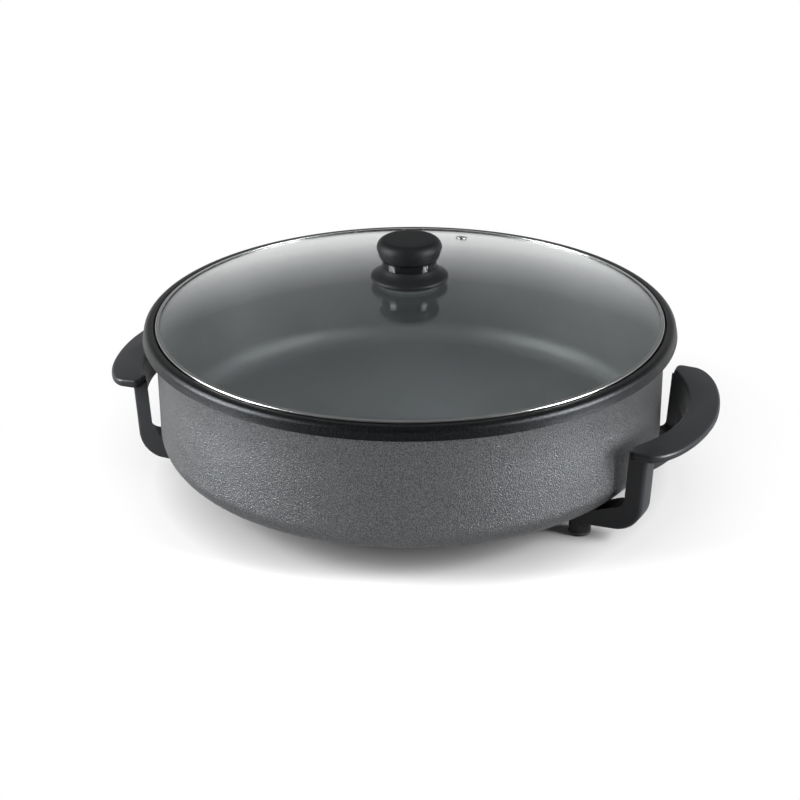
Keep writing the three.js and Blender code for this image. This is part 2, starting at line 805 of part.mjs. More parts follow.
// Turned knob with a flared base, a straight neck and a flat-topped head
function makeKnob() {
  const baseCentre = knobBaseRadius - knobBaseEdge;
  const headWidest = knobLower + knobHeadHeight;
  const top = knobLower + knobHeight;
  const aboveHead = knobHeadRadius - knobTopRadius;
  const base = arc(baseCentre, knobLower + knobBaseEdge, knobBaseEdge, -60, 50, 4);
  const flare = new THREE.QuadraticBezierCurve(
    new THREE.Vector2(...base[base.length - 1]),
    new THREE.Vector2(knobFlareMiddleRadius, knobLower + knobFlareMiddleHeight),
    new THREE.Vector2(knobNeckRadius, knobLower + knobFlareHeight),
  ).getPoints(arcSteps).slice(1).map(({ x, y }) => [x, y]);
  const dome = arc(0, 0, 1, 0, 90, 5).map(([x, z]) => [
    knobTopRadius + aboveHead * x,
    headWidest + (top - headWidest) * z,
  ]);
  const knob = turned([
    [0, knobLower],
    [baseCentre, knobLower],
    ...base,
    ...flare,
    [knobNeckRadius, knobLower + knobNeckHeight],
    [knobShoulderRadius, knobLower + knobShoulderHeight],
    ...dome,
    [0, top],
  ], knobTurn);
  return knob.subtract(post(0, 0, insertRadius + seatGap, knobLower - overrun,
    knobLower + insertLength + seatGap));
}

function ring(outer, inner, low, high, turn = smallTurn) {
  return turned([[inner, low], [outer, low], [outer, high], [inner, high]], turn);
}

function makeInsert() {
  return ring(insertRadius, insertBore, knobLower, knobLower + insertLength);
}

function makeGasket() {
  return ring(gasketRadius, knobBore, gasketLower, gasketLower + gasketThickness, knobTurn);
}

function makeLidWasher() {
  const top = glassTopHeight - glassThickness - seatGap;
  return ring(lidWasherRadius, lidScrewRadius + seatGap, top - lidWasherThickness, top, knobTurn);
}

function makeLidScrew() {
  const seat = glassTopHeight - glassThickness - seatGap - lidWasherThickness - seatGap;
  return makeScrew(lidScrewRadius, lidScrewHead, lidScrewHeadHeight, seat, knobLower + lidScrewReach);
}

// The assembly: everything that stands on the ground, and the lid that lifts off it
const panGroup = new THREE.Group();
const lidGroup = new THREE.Group();
addPiece(panGroup, 'pan_shell', makePanShell(), coatedAluminium);
addPiece(panGroup, 'thermal_disc', makeDisc(), bareAluminium);
addPiece(panGroup, 'heating_element', makeElement(), steel);
const clip = makeClip();
for (let i = 0; i < clipCount; i += 1) {
  const mesh = addPiece(panGroup, `element_clip_${i + 1}`, clip, steel);
  mesh.rotation.z = ((i + 1) / clipCount) * 2 * Math.PI - Math.PI / 2;
}
const insulator = makeInsulator();
const pin = bar(pinRadius, coldEndReach + 2 * seatGap, pinTip);
for (const [hand, side] of [['right', 1], ['left', -1]]) {
  const place = [(side * coldEndSpacing) / 2, 0, elementHeight];
  addPiece(panGroup, `terminal_insulator_${hand}`, insulator, ceramicWhite).position.set(...place);
  addPiece(panGroup, `terminal_pin_${hand}`, pin, brass).position.set(...place);
}
addPiece(panGroup, 'probe_sleeve', makeProbeSleeve(), bareAluminium).position.z = sleeveHeight;
addPiece(panGroup, 'inlet_guard', makeGuard(), steel);
const guardScrew = makeGuardScrew();
for (const { name, x, y } of guardScrewPlaces) {
  addPiece(panGroup, `inlet_guard_screw_${name}`, guardScrew, steel).position.set(x, y, 0);
}
addPiece(panGroup, 'bottom_cover', makeCover(), steel);
addPiece(panGroup, 'cover_screw', makeCoverScrew(), steel);
const handle = makeHandle();
addPiece(panGroup, 'handle_right', handle, blackPlastic);
addPiece(panGroup, 'handle_left', handle, blackPlastic).rotation.z = Math.PI;
const handleScrew = makeHandleScrew();
const footCap = makeFootCap();
for (const { name, x, y } of postPlaces) {
  addPiece(panGroup, `handle_screw_${name}`, handleScrew, steel).position.set(x, y, 0);
  addPiece(panGroup, `foot_cap_${name}`, footCap, blackRubber).position.set(x, y, 0);
}
addPiece(lidGroup, 'lid_glass', makeGlass(), clearGlass);
addPiece(lidGroup, 'lid_rim', makeLidRim(), steel);
addPiece(lidGroup, 'steam_vent', makeVent(), steel);
addPiece(lidGroup, 'knob', makeKnob(), blackPlastic);
addPiece(lidGroup, 'knob_insert', makeInsert(), brass);
addPiece(lidGroup, 'knob_gasket', makeGasket(), siliconeGrey);
addPiece(lidGroup, 'lid_washer', makeLidWasher(), steel);
addPiece(lidGroup, 'lid_screw', makeLidScrew(), steel);

const group = new THREE.Group();
group.add(panGroup, lidGroup);
export default group;
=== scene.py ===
"""Round electric skillet with a lift-off glass lid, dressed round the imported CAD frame."""
import math

import bpy
from mathutils import Matrix, Vector


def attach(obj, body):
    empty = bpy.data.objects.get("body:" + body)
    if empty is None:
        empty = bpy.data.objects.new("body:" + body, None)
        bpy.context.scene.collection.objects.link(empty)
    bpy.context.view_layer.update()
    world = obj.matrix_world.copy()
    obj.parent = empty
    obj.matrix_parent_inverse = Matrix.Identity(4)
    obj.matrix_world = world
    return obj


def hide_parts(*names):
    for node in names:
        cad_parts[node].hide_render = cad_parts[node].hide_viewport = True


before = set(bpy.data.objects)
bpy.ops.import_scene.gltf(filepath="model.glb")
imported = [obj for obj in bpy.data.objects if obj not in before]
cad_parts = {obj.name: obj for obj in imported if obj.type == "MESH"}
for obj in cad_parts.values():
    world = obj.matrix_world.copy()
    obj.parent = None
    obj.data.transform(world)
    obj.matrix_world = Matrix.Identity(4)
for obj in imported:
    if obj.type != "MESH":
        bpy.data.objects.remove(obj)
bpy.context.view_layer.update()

# Pieces are drawn in millimetres, from the ground and from the pan's axis, with +Z up.
# Blender, the shaders and the lamps use metres.
MM = 0.001
FULL_TURN = 2 * math.pi
TOUCH = 0.01
SEAT_GAP = 0.3

# The pan
PAN_UNDERSIDE = 26.5
PAN_RADIUS = 200.3
PAN_INSIDE = 197.5
PAN_FLOOR = 29.7
PAN_CORNER = 21.0
WALL_MIDDLE = 90.0
FOLD_HEIGHT = 125.6
FOLD_ROUND = 1.0
LEDGE = 129.0
LEDGE_ROUND = 0.8
STEP_RADIUS = 201.2
LIP = 133.8
LIP_ROUND = 0.9
SHOULDER_RADIUS = 209.0
SHOULDER_ROUND = 4.5
BAND_RADIUS = 210.0
BAND_LOWER = 124.2
BAND_SHEET = 2.4
BAND_EDGE = 0.5

# The handles
GRIP_TOP = 83.6
GRIP_UNDER = 76.7
GRIP_FALL = 0.048
GRIP_CENTRE = 213.8
GRIP_TIP = 199.0
GRIP_TIP_ROUND = 5.0
GRIP_TOP_ROUND = 2.2
GRIP_UNDER_ROUND = 0.9
GRIP_HALF_DEPTH = 33.4
GRIP_HALF_WIDTH = 85.0
GRIP_FULLNESS = 1.8
POCKET_WALL = 5.0
POCKET_DEPTH = 2.8
RIB_PLACES = (-40, -20, 0, 20, 40)
RIB_HALF_WIDTH = 1
FINGER_CENTRE = 102.0
FINGER_RADIUS = 121.0
FINGER_LEAN = 0.06
FINGER_FILLET = 6.0
SKIRT_WALL = 3.2
SKIRT_LOWER = 57.0
SKIRT_REACH = 31.5
LEG_SIDE = 74.5
LEG_WIDTH = 18.5
LEG_INNER = 186.3
LEG_OUTER = 210.0
LEG_TAPER = 0.045
LEG_TURN = 0.16
LEG_FILLET = 8.0
LEG_OUTER_ROUND = 5.5
LEG_INNER_ROUND = 1.6
ARM_LOWER = 11.4
ARM_TOP = 30.5
ARM_CORNER = 21.0
POST_PLACE = 159.3
POST_SIDE = 65.25
POST_RADIUS = 8.6
POST_TOP = 26.2
POST_EDGE = 0.6
RECESS_LOWER = 2.0
RECESS_RADIUS = 5.2
RECESS_TOP = 15.5
SCREW_BORE_RADIUS = 2.0
SCREW_BORE_TOP = 21.0
CAP_HEIGHT = 3.6
CAP_ROUND = 2.7
SPIGOT_RADIUS = 4.6
SPIGOT_HEIGHT = 3

# The lid
GLASS_BORE = 4.0
GLASS_EDGE_RADIUS = 197.8
GLASS_EDGE_HEIGHT = 132.0
GLASS_RISE = 28.2
GLASS_THICKNESS = 3.6
GLASS_CURVE = (GLASS_EDGE_RADIUS ** 2 + GLASS_RISE ** 2) / (2 * GLASS_RISE)
RIM_RADIUS = 199.8
RIM_LOWER = 129.3
RIM_DEPTH = 3
RIM_SHEET = 0.6
RIM_ROUND = 0.9
VENT_PLACE = 146.57
VENT_TURN = 1.7
KNOB_LOWER = 163.8
KNOB_NECK = (11.2, 18.6)
GASKET_THICKNESS = 1.2
WASHER_THICKNESS = 1.4

# Under the pan
DISC_RADIUS = 150.0
DISC_LOWER = 22.2
DISC_BOSS_LOWER = 13.8
ELEMENT_HEIGHT = 18.6
ELEMENT_RING = 112.0
ELEMENT_BEND = 14.0
TUBE_RADIUS = 3.25
TERMINAL_SIDE = 14.0
COLD_END = 158.0
PIN_END = 190.0
PROBE_RADIUS = 4.4
PROBE_BORE = 3.2
PROBE_HEIGHT = DISC_LOWER - SEAT_GAP - PROBE_RADIUS
GUARD_INNER = 166.0
GUARD_OUTER = 194.0
GUARD_LOWER = 8.2
GUARD_HALF_WIDTH = 23
GUARD_CORNER = 3
GUARD_SHEET = 1.0
GUARD_SCREW_SIDE = 28.5
GUARD_SCREW_PLACE = 173
COVER_DEPTH = 10.4
COVER_SHEET = 1
COVER_BORE = 2.0
COVER_BEAD = 84

# The studio's back, as a level direction: so much along Y, and so much against X
BACKWARD = 0.94
LEFTWARD = 0.34


# Shader values and nodes

class Value:
    """A socket of a node tree, with arithmetic that adds the nodes it needs."""

    def __init__(self, nodes, socket):
        self.nodes = nodes
        self.socket = socket

    def __add__(self, other):
        return self.nodes.maths("ADD", self, other)

    def __sub__(self, other):
        return self.nodes.maths("SUBTRACT", self, other)

    def __rsub__(self, other):
        return self.nodes.maths("SUBTRACT", other, self)

    def __mul__(self, other):
        return self.nodes.maths("MULTIPLY", self, other)

    def __pow__(self, other):
        return self.nodes.maths("POWER", self, other)

    def __rpow__(self, other):
        return self.nodes.maths("POWER", other, self)

    __radd__ = __add__
    __rmul__ = __mul__


class Nodes:
    """An emptied node tree whose nodes all come from one method."""

    def __init__(self, tree):
        self.tree = tree
        self.tree.nodes.clear()

    def node(self, kind, settings=None, output=0, **inputs):
        """Adds a node; an input is named by its socket, or by at and the socket's number."""
        made = self.tree.nodes.new(kind)
        for name, setting in (settings or {}).items():
            setattr(made, name, setting)
        for name, given in inputs.items():
            key = int(name[2:]) if name.startswith("at") else name.replace("_", " ")
            socket = made.inputs[key]
            if isinstance(given, Value):
                self.tree.links.new(given.socket, socket)
            elif socket.type == "RGBA":
                socket.default_value = (*given, 1)
            else:
                socket.default_value = given
        return Value(self, made.outputs[output]) if made.outputs else None

    def maths(self, operation, first, second):
        return self.node("ShaderNodeMath", {"operation": operation}, at0=first, at1=second)

    def either(self, first, second):
        """The larger value, which is 1 where either is 1."""
        return self.maths("MAXIMUM", first, second)

    def parts(self, vector):
        """The X, Y and Z of a vector."""
        made = self.node("ShaderNodeSeparateXYZ", Vector=vector).socket.node
        return [Value(self, socket) for socket in made.outputs]

    def between(self, value, low, high, first=0.0, last=1.0):
        """Goes evenly from first, at low, to last, at high, and stays there beyond them."""
        return self.node("ShaderNodeMapRange", Value=value, From_Min=low, From_Max=high,
                         To_Min=first, To_Max=last)

    def blend(self, share, first, second):
        """The first colour where share is 0, and the second where it is 1."""
        return self.node("ShaderNodeMix", {"data_type": "RGBA"}, output=2, at0=share, at6=first, at7=second)

    def choose(self, share, first, second):
        """The first shader where share is 0, and the second where it is 1."""
        return self.node("ShaderNodeMixShader", at0=share, at1=first, at2=second)

    def ray(self, kind):
        """1 for a ray of that kind, and 0 for any other."""
        return self.node("ShaderNodeLightPath", output=f"Is {kind} Ray")


class Finish(Nodes):
    """A material whose patterns lie on the piece's own coordinates."""

    def __init__(self, name):
        self.material = bpy.data.materials.new(name)
        self.material.use_nodes = True
        super().__init__(self.material.node_tree)
        self.place = self.node("ShaderNodeTexCoord", output="Object")

    def noise(self, size, detail=2.0, roughness=0.5):
        """Noise whose grains are about size millimetres wide."""
        return self.node("ShaderNodeTexNoise", Vector=self.place, Scale=1 / (size * MM), Detail=detail,
                         Roughness=roughness)

    def relief(self, height, depth):
        """Bump from a height of 0 to 1 that stands for depth millimetres."""
        return self.node("ShaderNodeBump", Height=height, Distance=depth * MM)

    def surface(self, **inputs):
        return self.show(self.node("ShaderNodeBsdfPrincipled", **inputs))

    def show(self, shader):
        self.node("ShaderNodeOutputMaterial", Surface=shader)
        return self.material


# Finishes

def tinted(colour, strength):
    return tuple(strength * part for part in colour)


def hammered_enamel():
    """Grey hammered enamel outside the pan: a metallic skin of fine dimples, deeper towards the bottom, with
    painted shade in the hollows and a painted highlight on the crests.
    """
    enamel = Finish("hammered grey enamel")
    # Painted shade and painted highlight: the grains that set the colour also raise the bump, dark where it
    # is low and pale where it is raised.
    hollow, lit_crest = (0.068, 0.0702, 0.0732), (0.185, 0.1905, 0.198)
    wall_top, wall_foot = 0.12, 0.04
    height = enamel.parts(enamel.place)[2]
    low = enamel.between(height, wall_top, wall_foot)
    grains = enamel.noise(0.8, detail=2.0, roughness=0.6)
    dimples = enamel.noise(0.95, detail=1.0)
    share = enamel.between(grains, 0.38, 0.64)
    skin = enamel.between(dimples, 0.35, 0.65) * 0.7 + share * 0.3
    return enamel.surface(Base_Color=enamel.blend(share, hollow, lit_crest), Metallic=0.9,
                          Roughness=0.34 + 0.06 * grains, Specular_IOR_Level=0.15,
                          Normal=enamel.relief(skin * (0.6 + 0.4 * low), 0.26))


def rim_enamel():
    """Near-black satin enamel of the rim band, with the body's dimples showing faintly as bump, painted shade
    in their hollows and a painted highlight on their crests.
    """
    enamel = Finish("near-black rim enamel")
    # Painted shade and painted highlight: one share sets both the colour and the bump, dark where it is low
    # and pale where it is raised.
    hollow, lit_crest = (0.013, 0.0137, 0.0147), (0.026, 0.0273, 0.029)
    grains = enamel.noise(1.3, detail=3.0, roughness=0.6)
    share = enamel.between(grains, 0.36, 0.66)
    return enamel.surface(Base_Color=enamel.blend(share, hollow, lit_crest), Metallic=0.95,
                          Roughness=0.33 + 0.06 * grains, Specular_IOR_Level=0.1,
                          Normal=enamel.relief(share, 0.05))


def nonstick_coating():
    """Dark satin coating inside the pan, with fine pale flecks."""
    coating = Finish("dark non-stick coating")
    dark, less_dark, fleck = (0.034, 0.036, 0.038), (0.045, 0.047, 0.05), (0.12, 0.125, 0.13)
    flecks = coating.between(coating.noise(0.9, detail=2.0, roughness=0.7), 0.62, 0.72)
    cloud = coating.noise(60.0, detail=3.0)
    ground = coating.blend(coating.between(cloud, 0.3, 0.7), dark, less_dark)
    return coating.surface(Base_Color=coating.blend(flecks * 0.35, ground, fleck),
                           Roughness=0.42 + 0.1 * cloud, Specular_IOR_Level=0.3,
                           Normal=coating.relief(coating.noise(1.1), 0.03))


def satin_plastic(name, colour, roughness, gloss):
    """Heat-resistant moulded plastic with a fine spark-eroded grain and faint flow marks."""
    plastic = Finish(name)
    grain = plastic.noise(0.45, detail=2.0, roughness=0.6)
    flow = plastic.noise(26.0, detail=4.0, roughness=0.55)
    share = plastic.between(flow, 0.25, 0.8) * 0.6 + plastic.between(grain, 0.4, 0.7) * 0.3
    return plastic.surface(Base_Color=plastic.blend(share, colour, tinted(colour, 1.35)),
                           Roughness=roughness - 0.05 + 0.1 * flow, Specular_IOR_Level=gloss,
                           Normal=plastic.relief(grain, 0.02))


def polished_steel():
    """Rolled stainless steel with faint lines round the turn."""
    steel = Finish("polished stainless steel")
    dark, pale = (0.44, 0.445, 0.45), (0.52, 0.525, 0.53)
    x, y, z = steel.parts(steel.place)
    radius = (x * x + y * y) ** 0.5
    lines = steel.node("ShaderNodeTexNoise", {"noise_dimensions": "1D"}, W=radius + z, Scale=4200.0,
                       Detail=2.0)
    smudge = steel.noise(18.0, detail=3.0)
    return steel.surface(Base_Color=steel.blend(smudge, dark, pale), Metallic=1.0,
                         Roughness=0.16 + 0.06 * lines + 0.05 * smudge, Normal=steel.relief(lines, 0.004))


def plain_metal(name, colour, roughness):
    """Bright sheet, screw or pin metal with a faint rolled grain."""
    metal = Finish(name)
    x, y, z = metal.parts(metal.place)
    drawn_out = metal.node("ShaderNodeCombineXYZ", X=x * 0.08, Y=y + z)
    grain = metal.node("ShaderNodeTexNoise", {"noise_dimensions": "2D"}, Scale=900.0, Detail=3.0,
                       Vector=drawn_out)
    smudge = metal.noise(14.0, detail=3.0)
    return metal.surface(Base_Color=metal.blend(smudge, tinted(colour, 0.82), colour), Metallic=1.0,
                         Roughness=roughness + 0.1 * grain + 0.08 * smudge,
                         Normal=metal.relief(grain, 0.006))


def cast_aluminium():
    """Matt cast aluminium with a sandy skin."""
    cast = Finish("matt cast aluminium")
    dark, pale = (0.46, 0.47, 0.475), (0.58, 0.585, 0.59)
    sand = cast.noise(0.8, detail=3.0, roughness=0.65)
    cloud = cast.noise(30.0, detail=3.0)
    return cast.surface(Base_Color=cast.blend(cloud, dark, pale), Metallic=1.0,
                        Roughness=0.42 + 0.16 * sand, Normal=cast.relief(sand, 0.05))


def heated_steel():
    """Element sheath, browned by heat."""
    sheath = Finish("heat-browned steel sheath")
    grey, brown = (0.19, 0.18, 0.175), (0.32, 0.28, 0.24)
    cloud = sheath.noise(22.0, detail=4.0)
    colour = sheath.blend(sheath.between(cloud, 0.3, 0.7), grey, brown)
    return sheath.surface(Base_Color=colour, Metallic=1.0, Roughness=0.36 + 0.2 * cloud,
                          Normal=sheath.relief(sheath.noise(1.2), 0.01))


def clear_glass():
    """Clear tempered glass with a faint green cast, which lets the lamps' light through."""
    pane = Finish("clear tempered glass")
    smudge = pane.noise(70.0, detail=2.0)
    glass = pane.node("ShaderNodeBsdfPrincipled", Base_Color=(0.93, 0.955, 0.95), IOR=1.47,
                      Transmission_Weight=1.0, Roughness=0.004 + 0.01 * smudge)
    open_way = pane.node("ShaderNodeBsdfTransparent", Color=(0.9, 0.925, 0.92))
    return pane.show(pane.choose(pane.ray("Shadow"), glass, open_way))


def matt_material(name, colour, roughness, grain_size):
    """Rubber, silicone or ceramic: one colour, clouded a little, with a dull grain."""
    matt = Finish(name)
    grain = matt.noise(grain_size, detail=3.0, roughness=0.6)
    cloud = matt.noise(12.0, detail=2.0)
    return matt.surface(Base_Color=matt.blend(cloud, colour, tinted(colour, 1.25)),
                        Roughness=roughness + 0.1 * grain, Normal=matt.relief(grain, 0.03))


ENAMEL = hammered_enamel()
RIM_ENAMEL = rim_enamel()
COATING = nonstick_coating()
HANDLE_PLASTIC = satin_plastic("charcoal handle plastic", (0.012, 0.0125, 0.014), 0.36, 0.25)
KNOB_PLASTIC = satin_plastic("near-black knob plastic", (0.0045, 0.0048, 0.0053), 0.5, 0.1)
# The neck is glossier than the knob, which is a real polish, and darker in colour as painted shade under the
# head.
SHADED_NECK_PLASTIC = satin_plastic("polished knob neck with painted shade", (0.003, 0.0032, 0.0035), 0.16, 0.24)
POLISHED = polished_steel()
VENT_STEEL = plain_metal("satin vent steel", (0.22, 0.225, 0.23), 0.3)
SHEET_STEEL = plain_metal("bright sheet steel", (0.6, 0.6, 0.6), 0.2)
SCREW_STEEL = plain_metal("zinc-plated screw steel", (0.5, 0.505, 0.51), 0.24)
CAST = cast_aluminium()
SHEATH = heated_steel()
GLASS = clear_glass()
RUBBER = matt_material("black foot rubber", (0.016, 0.016, 0.017), 0.68, 0.7)
SILICONE = matt_material("grey silicone", (0.2, 0.205, 0.205), 0.55, 0.9)
CERAMIC = matt_material("off-white ceramic", (0.62, 0.6, 0.53), 0.55, 0.6)
BRASS = plain_metal("plain brass", (0.6, 0.42, 0.16), 0.22)


# Points

def arc(centre, radius, start, end, steps):
    """Points round a centre, from one angle to another in degrees."""
    angles = [math.radians(start + (end - start) * i / steps) for i in range(steps + 1)]
    return [(centre[0] + radius * math.cos(a), centre[1] + radius * math.sin(a)) for a in angles]


def rectangle(x0, y0, x1, y1):
    return [(x0, y0), (x1, y0), (x1, y1), (x0, y1)]


def level(outline, height):
    """An outline of (x, y), laid at a height."""
    return [(x, y, height) for x, y in outline]


# Making pieces

def pick_nothing():
    if bpy.context.mode != "OBJECT":
        bpy.ops.object.mode_set(mode="OBJECT")
    bpy.ops.object.select_all(action="DESELECT")


def pick_only(piece):
    pick_nothing()
    piece.select_set(True)
    bpy.context.view_layer.objects.active = piece


def open_mesh(piece):
    """Goes to edit mode with the whole mesh picked."""
    pick_only(piece)
    bpy.ops.object.mode_set(mode="EDIT")
    bpy.ops.mesh.select_all(action="SELECT")


def start_point(name, point):
    """A new mesh of one point, in edit mode."""
    pick_nothing()
    bpy.ops.mesh.primitive_plane_add(size=MM)
    piece = bpy.context.object
    piece.name = piece.data.name = name
    bpy.ops.object.mode_set(mode="EDIT")
    bpy.ops.mesh.select_mode(type="VERT")
    bpy.ops.mesh.select_all(action="SELECT")
    bpy.ops.mesh.merge(type="CENTER")
    bpy.ops.transform.translate(value=Vector(point) * MM)
    return piece


def draw_line(points):
    """Extrudes the picked point through the others."""
    for here, there in zip(points, points[1:]):
        step = (Vector(there) - Vector(here)) * MM
        bpy.ops.mesh.extrude_vertices_move(TRANSFORM_OT_translate={"value": step})


def clean_mesh():
    """Merges doubles and turns the faces outwards, in edit mode."""
    bpy.ops.mesh.select_all(action="SELECT")
    bpy.ops.mesh.remove_doubles(threshold=2e-6)
    bpy.ops.mesh.normals_make_consistent(inside=False)


def smooth(piece, degrees=35.0):
    """Smooth shading, except across edges sharper than the angle."""
    pick_only(piece)
    bpy.ops.object.shade_smooth_by_angle(angle=math.radians(degrees))


def turned(name, profile, steps=128, degrees=35.0):
    """A profile of (radius, height) spun round the upright axis; one off the axis is closed first."""
    points = [(r, 0.0, z) for r, z in profile]
    if profile[0][0] > 0 or profile[-1][0] > 0:
        points.append(points[0])
    piece = start_point(name, points[0])
    draw_line(points)
    bpy.ops.mesh.select_all(action="SELECT")
    bpy.ops.mesh.spin(steps=steps, angle=FULL_TURN, center=(0, 0, 0), axis=(0, 0, 1))
    clean_mesh()
    smooth(piece, degrees)
    return piece


def turned_at(name, profile, steps, x, y):
    """A turned piece round another upright axis."""
    return shift(turned(name, profile, steps=steps), x, y)


def along_y(name, profile, steps, x, height):
    """A turned piece that lies along Y; the profile's heights are its places along Y."""
    piece = turn_mesh(turned(name, profile, steps=steps), -90, "X")
    return shift(piece, x, 0, height)


def raised(name, outline, sweep):
    """A closed outline, filled and extruded along sweep; it stays in edit mode."""
    piece = start_point(name, outline[0])
    draw_line(outline)
    bpy.ops.mesh.select_all(action="SELECT")
    bpy.ops.mesh.edge_face_add()
    bpy.ops.mesh.extrude_region_move(TRANSFORM_OT_translate={"value": Vector(sweep) * MM})
    clean_mesh()
    return piece


def bevel_picked(piece, offset, segments, test):
    """Rounds the edges whose two ends, in millimetres, pass the test."""
    open_mesh(piece)
    bpy.ops.mesh.select_mode(type="EDGE")
    bpy.ops.mesh.select_all(action="DESELECT")
    bpy.ops.object.mode_set(mode="OBJECT")
    for edge in piece.data.edges:
        ends = [piece.data.vertices[i].co / MM for i in edge.vertices]
        edge.select = test(*ends)
    bpy.ops.object.mode_set(mode="EDIT")
    bpy.ops.mesh.bevel(offset=offset * MM, segments=segments, affect="EDGES", clamp_overlap=True)
    bpy.ops.object.mode_set(mode="OBJECT")


def is_upright(a, b):
    """Whether an edge of an upright block goes from its lower face to its upper one."""
    return abs(a.z - b.z) > 0.5


def shift(piece, x=0.0, y=0.0, z=0.0):
    """Moves a piece's mesh; its object stays at the origin."""
    open_mesh(piece)
    bpy.ops.transform.translate(value=(x * MM, y * MM, z * MM))
    bpy.ops.object.mode_set(mode="OBJECT")
    return piece


def turn_mesh(piece, degrees, axis):
    """Turns a piece's mesh about the origin, anticlockwise seen from the axis's positive end."""
    open_mesh(piece)
    bpy.ops.transform.rotate(value=math.radians(-degrees), orient_axis=axis, center_override=(0, 0, 0))
    bpy.ops.object.mode_set(mode="OBJECT")
    return piece


def combine(piece, others, operation):
    """Joins the others to a piece or cuts them out of it."""
    for other in others:
        pick_only(piece)
        step = piece.modifiers.new("combine", "BOOLEAN")
        step.operation = operation
        step.solver = "EXACT"
        step.object = other
        bpy.ops.object.modifier_apply(modifier=step.name)
        bpy.data.objects.remove(other, do_unlink=True)
    return piece


def copy_of(piece, name):
    made = piece.copy()
    made.data = piece.data.copy()
    made.name = made.data.name = name
    bpy.context.scene.collection.objects.link(made)
    return made


def finish_piece(piece, materials, body, node):
    """Gives a piece its materials, hangs it on the body it rides on, and hides the CAD node it stands for."""
    pick_nothing()
    piece.data.materials.clear()
    for material in materials:
        piece.data.materials.append(material)
    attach(piece, body)
    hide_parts(node)


# The pan

def make_pan():
    """The shell, spun from its section: base and wall, folded rim band, step for the lid, and inside."""
    corner = PAN_RADIUS - PAN_CORNER
    inner_corner = PAN_CORNER - (PAN_RADIUS - PAN_INSIDE)
    band_back = BAND_RADIUS - BAND_SHEET
    step_back = STEP_RADIUS + BAND_SHEET
    profile = [(0.0, PAN_UNDERSIDE), (DISC_RADIUS + 1.5, PAN_UNDERSIDE)]
    profile += arc((corner, PAN_UNDERSIDE + PAN_CORNER), PAN_CORNER, -90, 0, 14)
    profile += [(PAN_RADIUS, WALL_MIDDLE), (PAN_RADIUS, FOLD_HEIGHT)]
    profile += arc((PAN_RADIUS + FOLD_ROUND, FOLD_HEIGHT), FOLD_ROUND, 180, 90, 3)
    profile += [(step_back, FOLD_HEIGHT + 1.1), (step_back, LIP - BAND_SHEET)]
    profile += [(step_back + 0.9, LIP - BAND_SHEET), (band_back - 1.2, LIP - SHOULDER_ROUND)]
    profile += [(band_back + 0.6, BAND_LOWER + BAND_EDGE), (band_back + 1.1, BAND_LOWER)]
    profile += [(BAND_RADIUS - BAND_EDGE, BAND_LOWER), (BAND_RADIUS, BAND_LOWER + BAND_EDGE)]
    profile += arc((SHOULDER_RADIUS - SHOULDER_ROUND, LIP - SHOULDER_ROUND), SHOULDER_ROUND, 0, 90, 10)
    profile += [(STEP_RADIUS + LIP_ROUND + 0.3, LIP)]
    profile += arc((STEP_RADIUS + LIP_ROUND, LIP - LIP_ROUND), LIP_ROUND, 90, 180, 4)
    profile += [(STEP_RADIUS, LEDGE + 0.5), (STEP_RADIUS - 0.5, LEDGE), (PAN_INSIDE + LEDGE_ROUND, LEDGE)]
    profile += arc((PAN_INSIDE + LEDGE_ROUND, LEDGE - LEDGE_ROUND), LEDGE_ROUND, 90, 180, 3)
    profile += [(PAN_INSIDE, WALL_MIDDLE)]
    profile += arc((PAN_INSIDE - inner_corner, PAN_FLOOR + inner_corner), inner_corner, 0, -90, 12)
    profile += [(DISC_RADIUS, PAN_FLOOR), (0.4 * DISC_RADIUS, PAN_FLOOR), (0.0, PAN_FLOOR)]
    pan = turned("pan_body", profile, steps=160)
    finish_piece(pan, (ENAMEL, RIM_ENAMEL, COATING), "pan", "pan_shell")
    for face in pan.data.polygons:
        face.material_index = pan_coat(face)


def pan_coat(face):
    """The number of a face's material: 1 on the rim band, 2 inside, and 0 on the outside."""
    radius = math.hypot(face.center.x, face.center.y) / MM
    height = face.center.z / MM
    faces_axis = face.normal.x * face.center.x + face.normal.y * face.center.y < 0
    if height > BAND_LOWER - 0.1 and radius > PAN_RADIUS - 0.1:
        return 1
    if height > PAN_FLOOR - 0.5 and (faces_axis or face.normal.z > 0.1):
        return 2
    return 0


# The handles

def grip_outline():
    """The grip from above: a full flank and two blunt tips."""
    power = 2 / GRIP_FULLNESS
    outline = []
    for i in range(73):
        angle = math.radians(-90 + 2.5 * i)
        across = math.copysign(abs(math.sin(angle)) ** power, math.sin(angle))
        outline.append((GRIP_CENTRE + GRIP_HALF_DEPTH * max(math.cos(angle), 0.0) ** power,
                        GRIP_HALF_WIDTH * across))
    side = GRIP_HALF_WIDTH - GRIP_TIP_ROUND
    outline += arc((GRIP_TIP + GRIP_TIP_ROUND, side), GRIP_TIP_ROUND, 90, 180, 8)
    outline += arc((GRIP_TIP + GRIP_TIP_ROUND, -side), GRIP_TIP_ROUND, 180, 270, 8)
    return outline


def finger_centre(height):
    """Where the leaning finger space has its axis at a height."""
    return FINGER_CENTRE + FINGER_LEAN * (height - GRIP_TOP)


def top_height(x):
    """The height of the grip's sloping top."""
    return GRIP_TOP - GRIP_FALL * (x - GRIP_TIP)


def make_grip():
    """The grip, cut off by its sloping top."""
    grip = raised("handle_right_moulding", level(grip_outline(), GRIP_UNDER),
                  (0, 0, GRIP_TOP + 2 - GRIP_UNDER))
    bpy.ops.mesh.select_all(action="SELECT")
    bpy.ops.mesh.bisect(plane_co=(GRIP_TIP * MM, 0, GRIP_TOP * MM), plane_no=(GRIP_FALL, 0, 1),
                        use_fill=True, clear_outer=True)
    clean_mesh()
    bevel_picked(grip, GRIP_UNDER_ROUND, 3, lambda a, b: max(a.z, b.z) < GRIP_UNDER + TOUCH)
    return combine(grip, [make_pocket()], "DIFFERENCE")


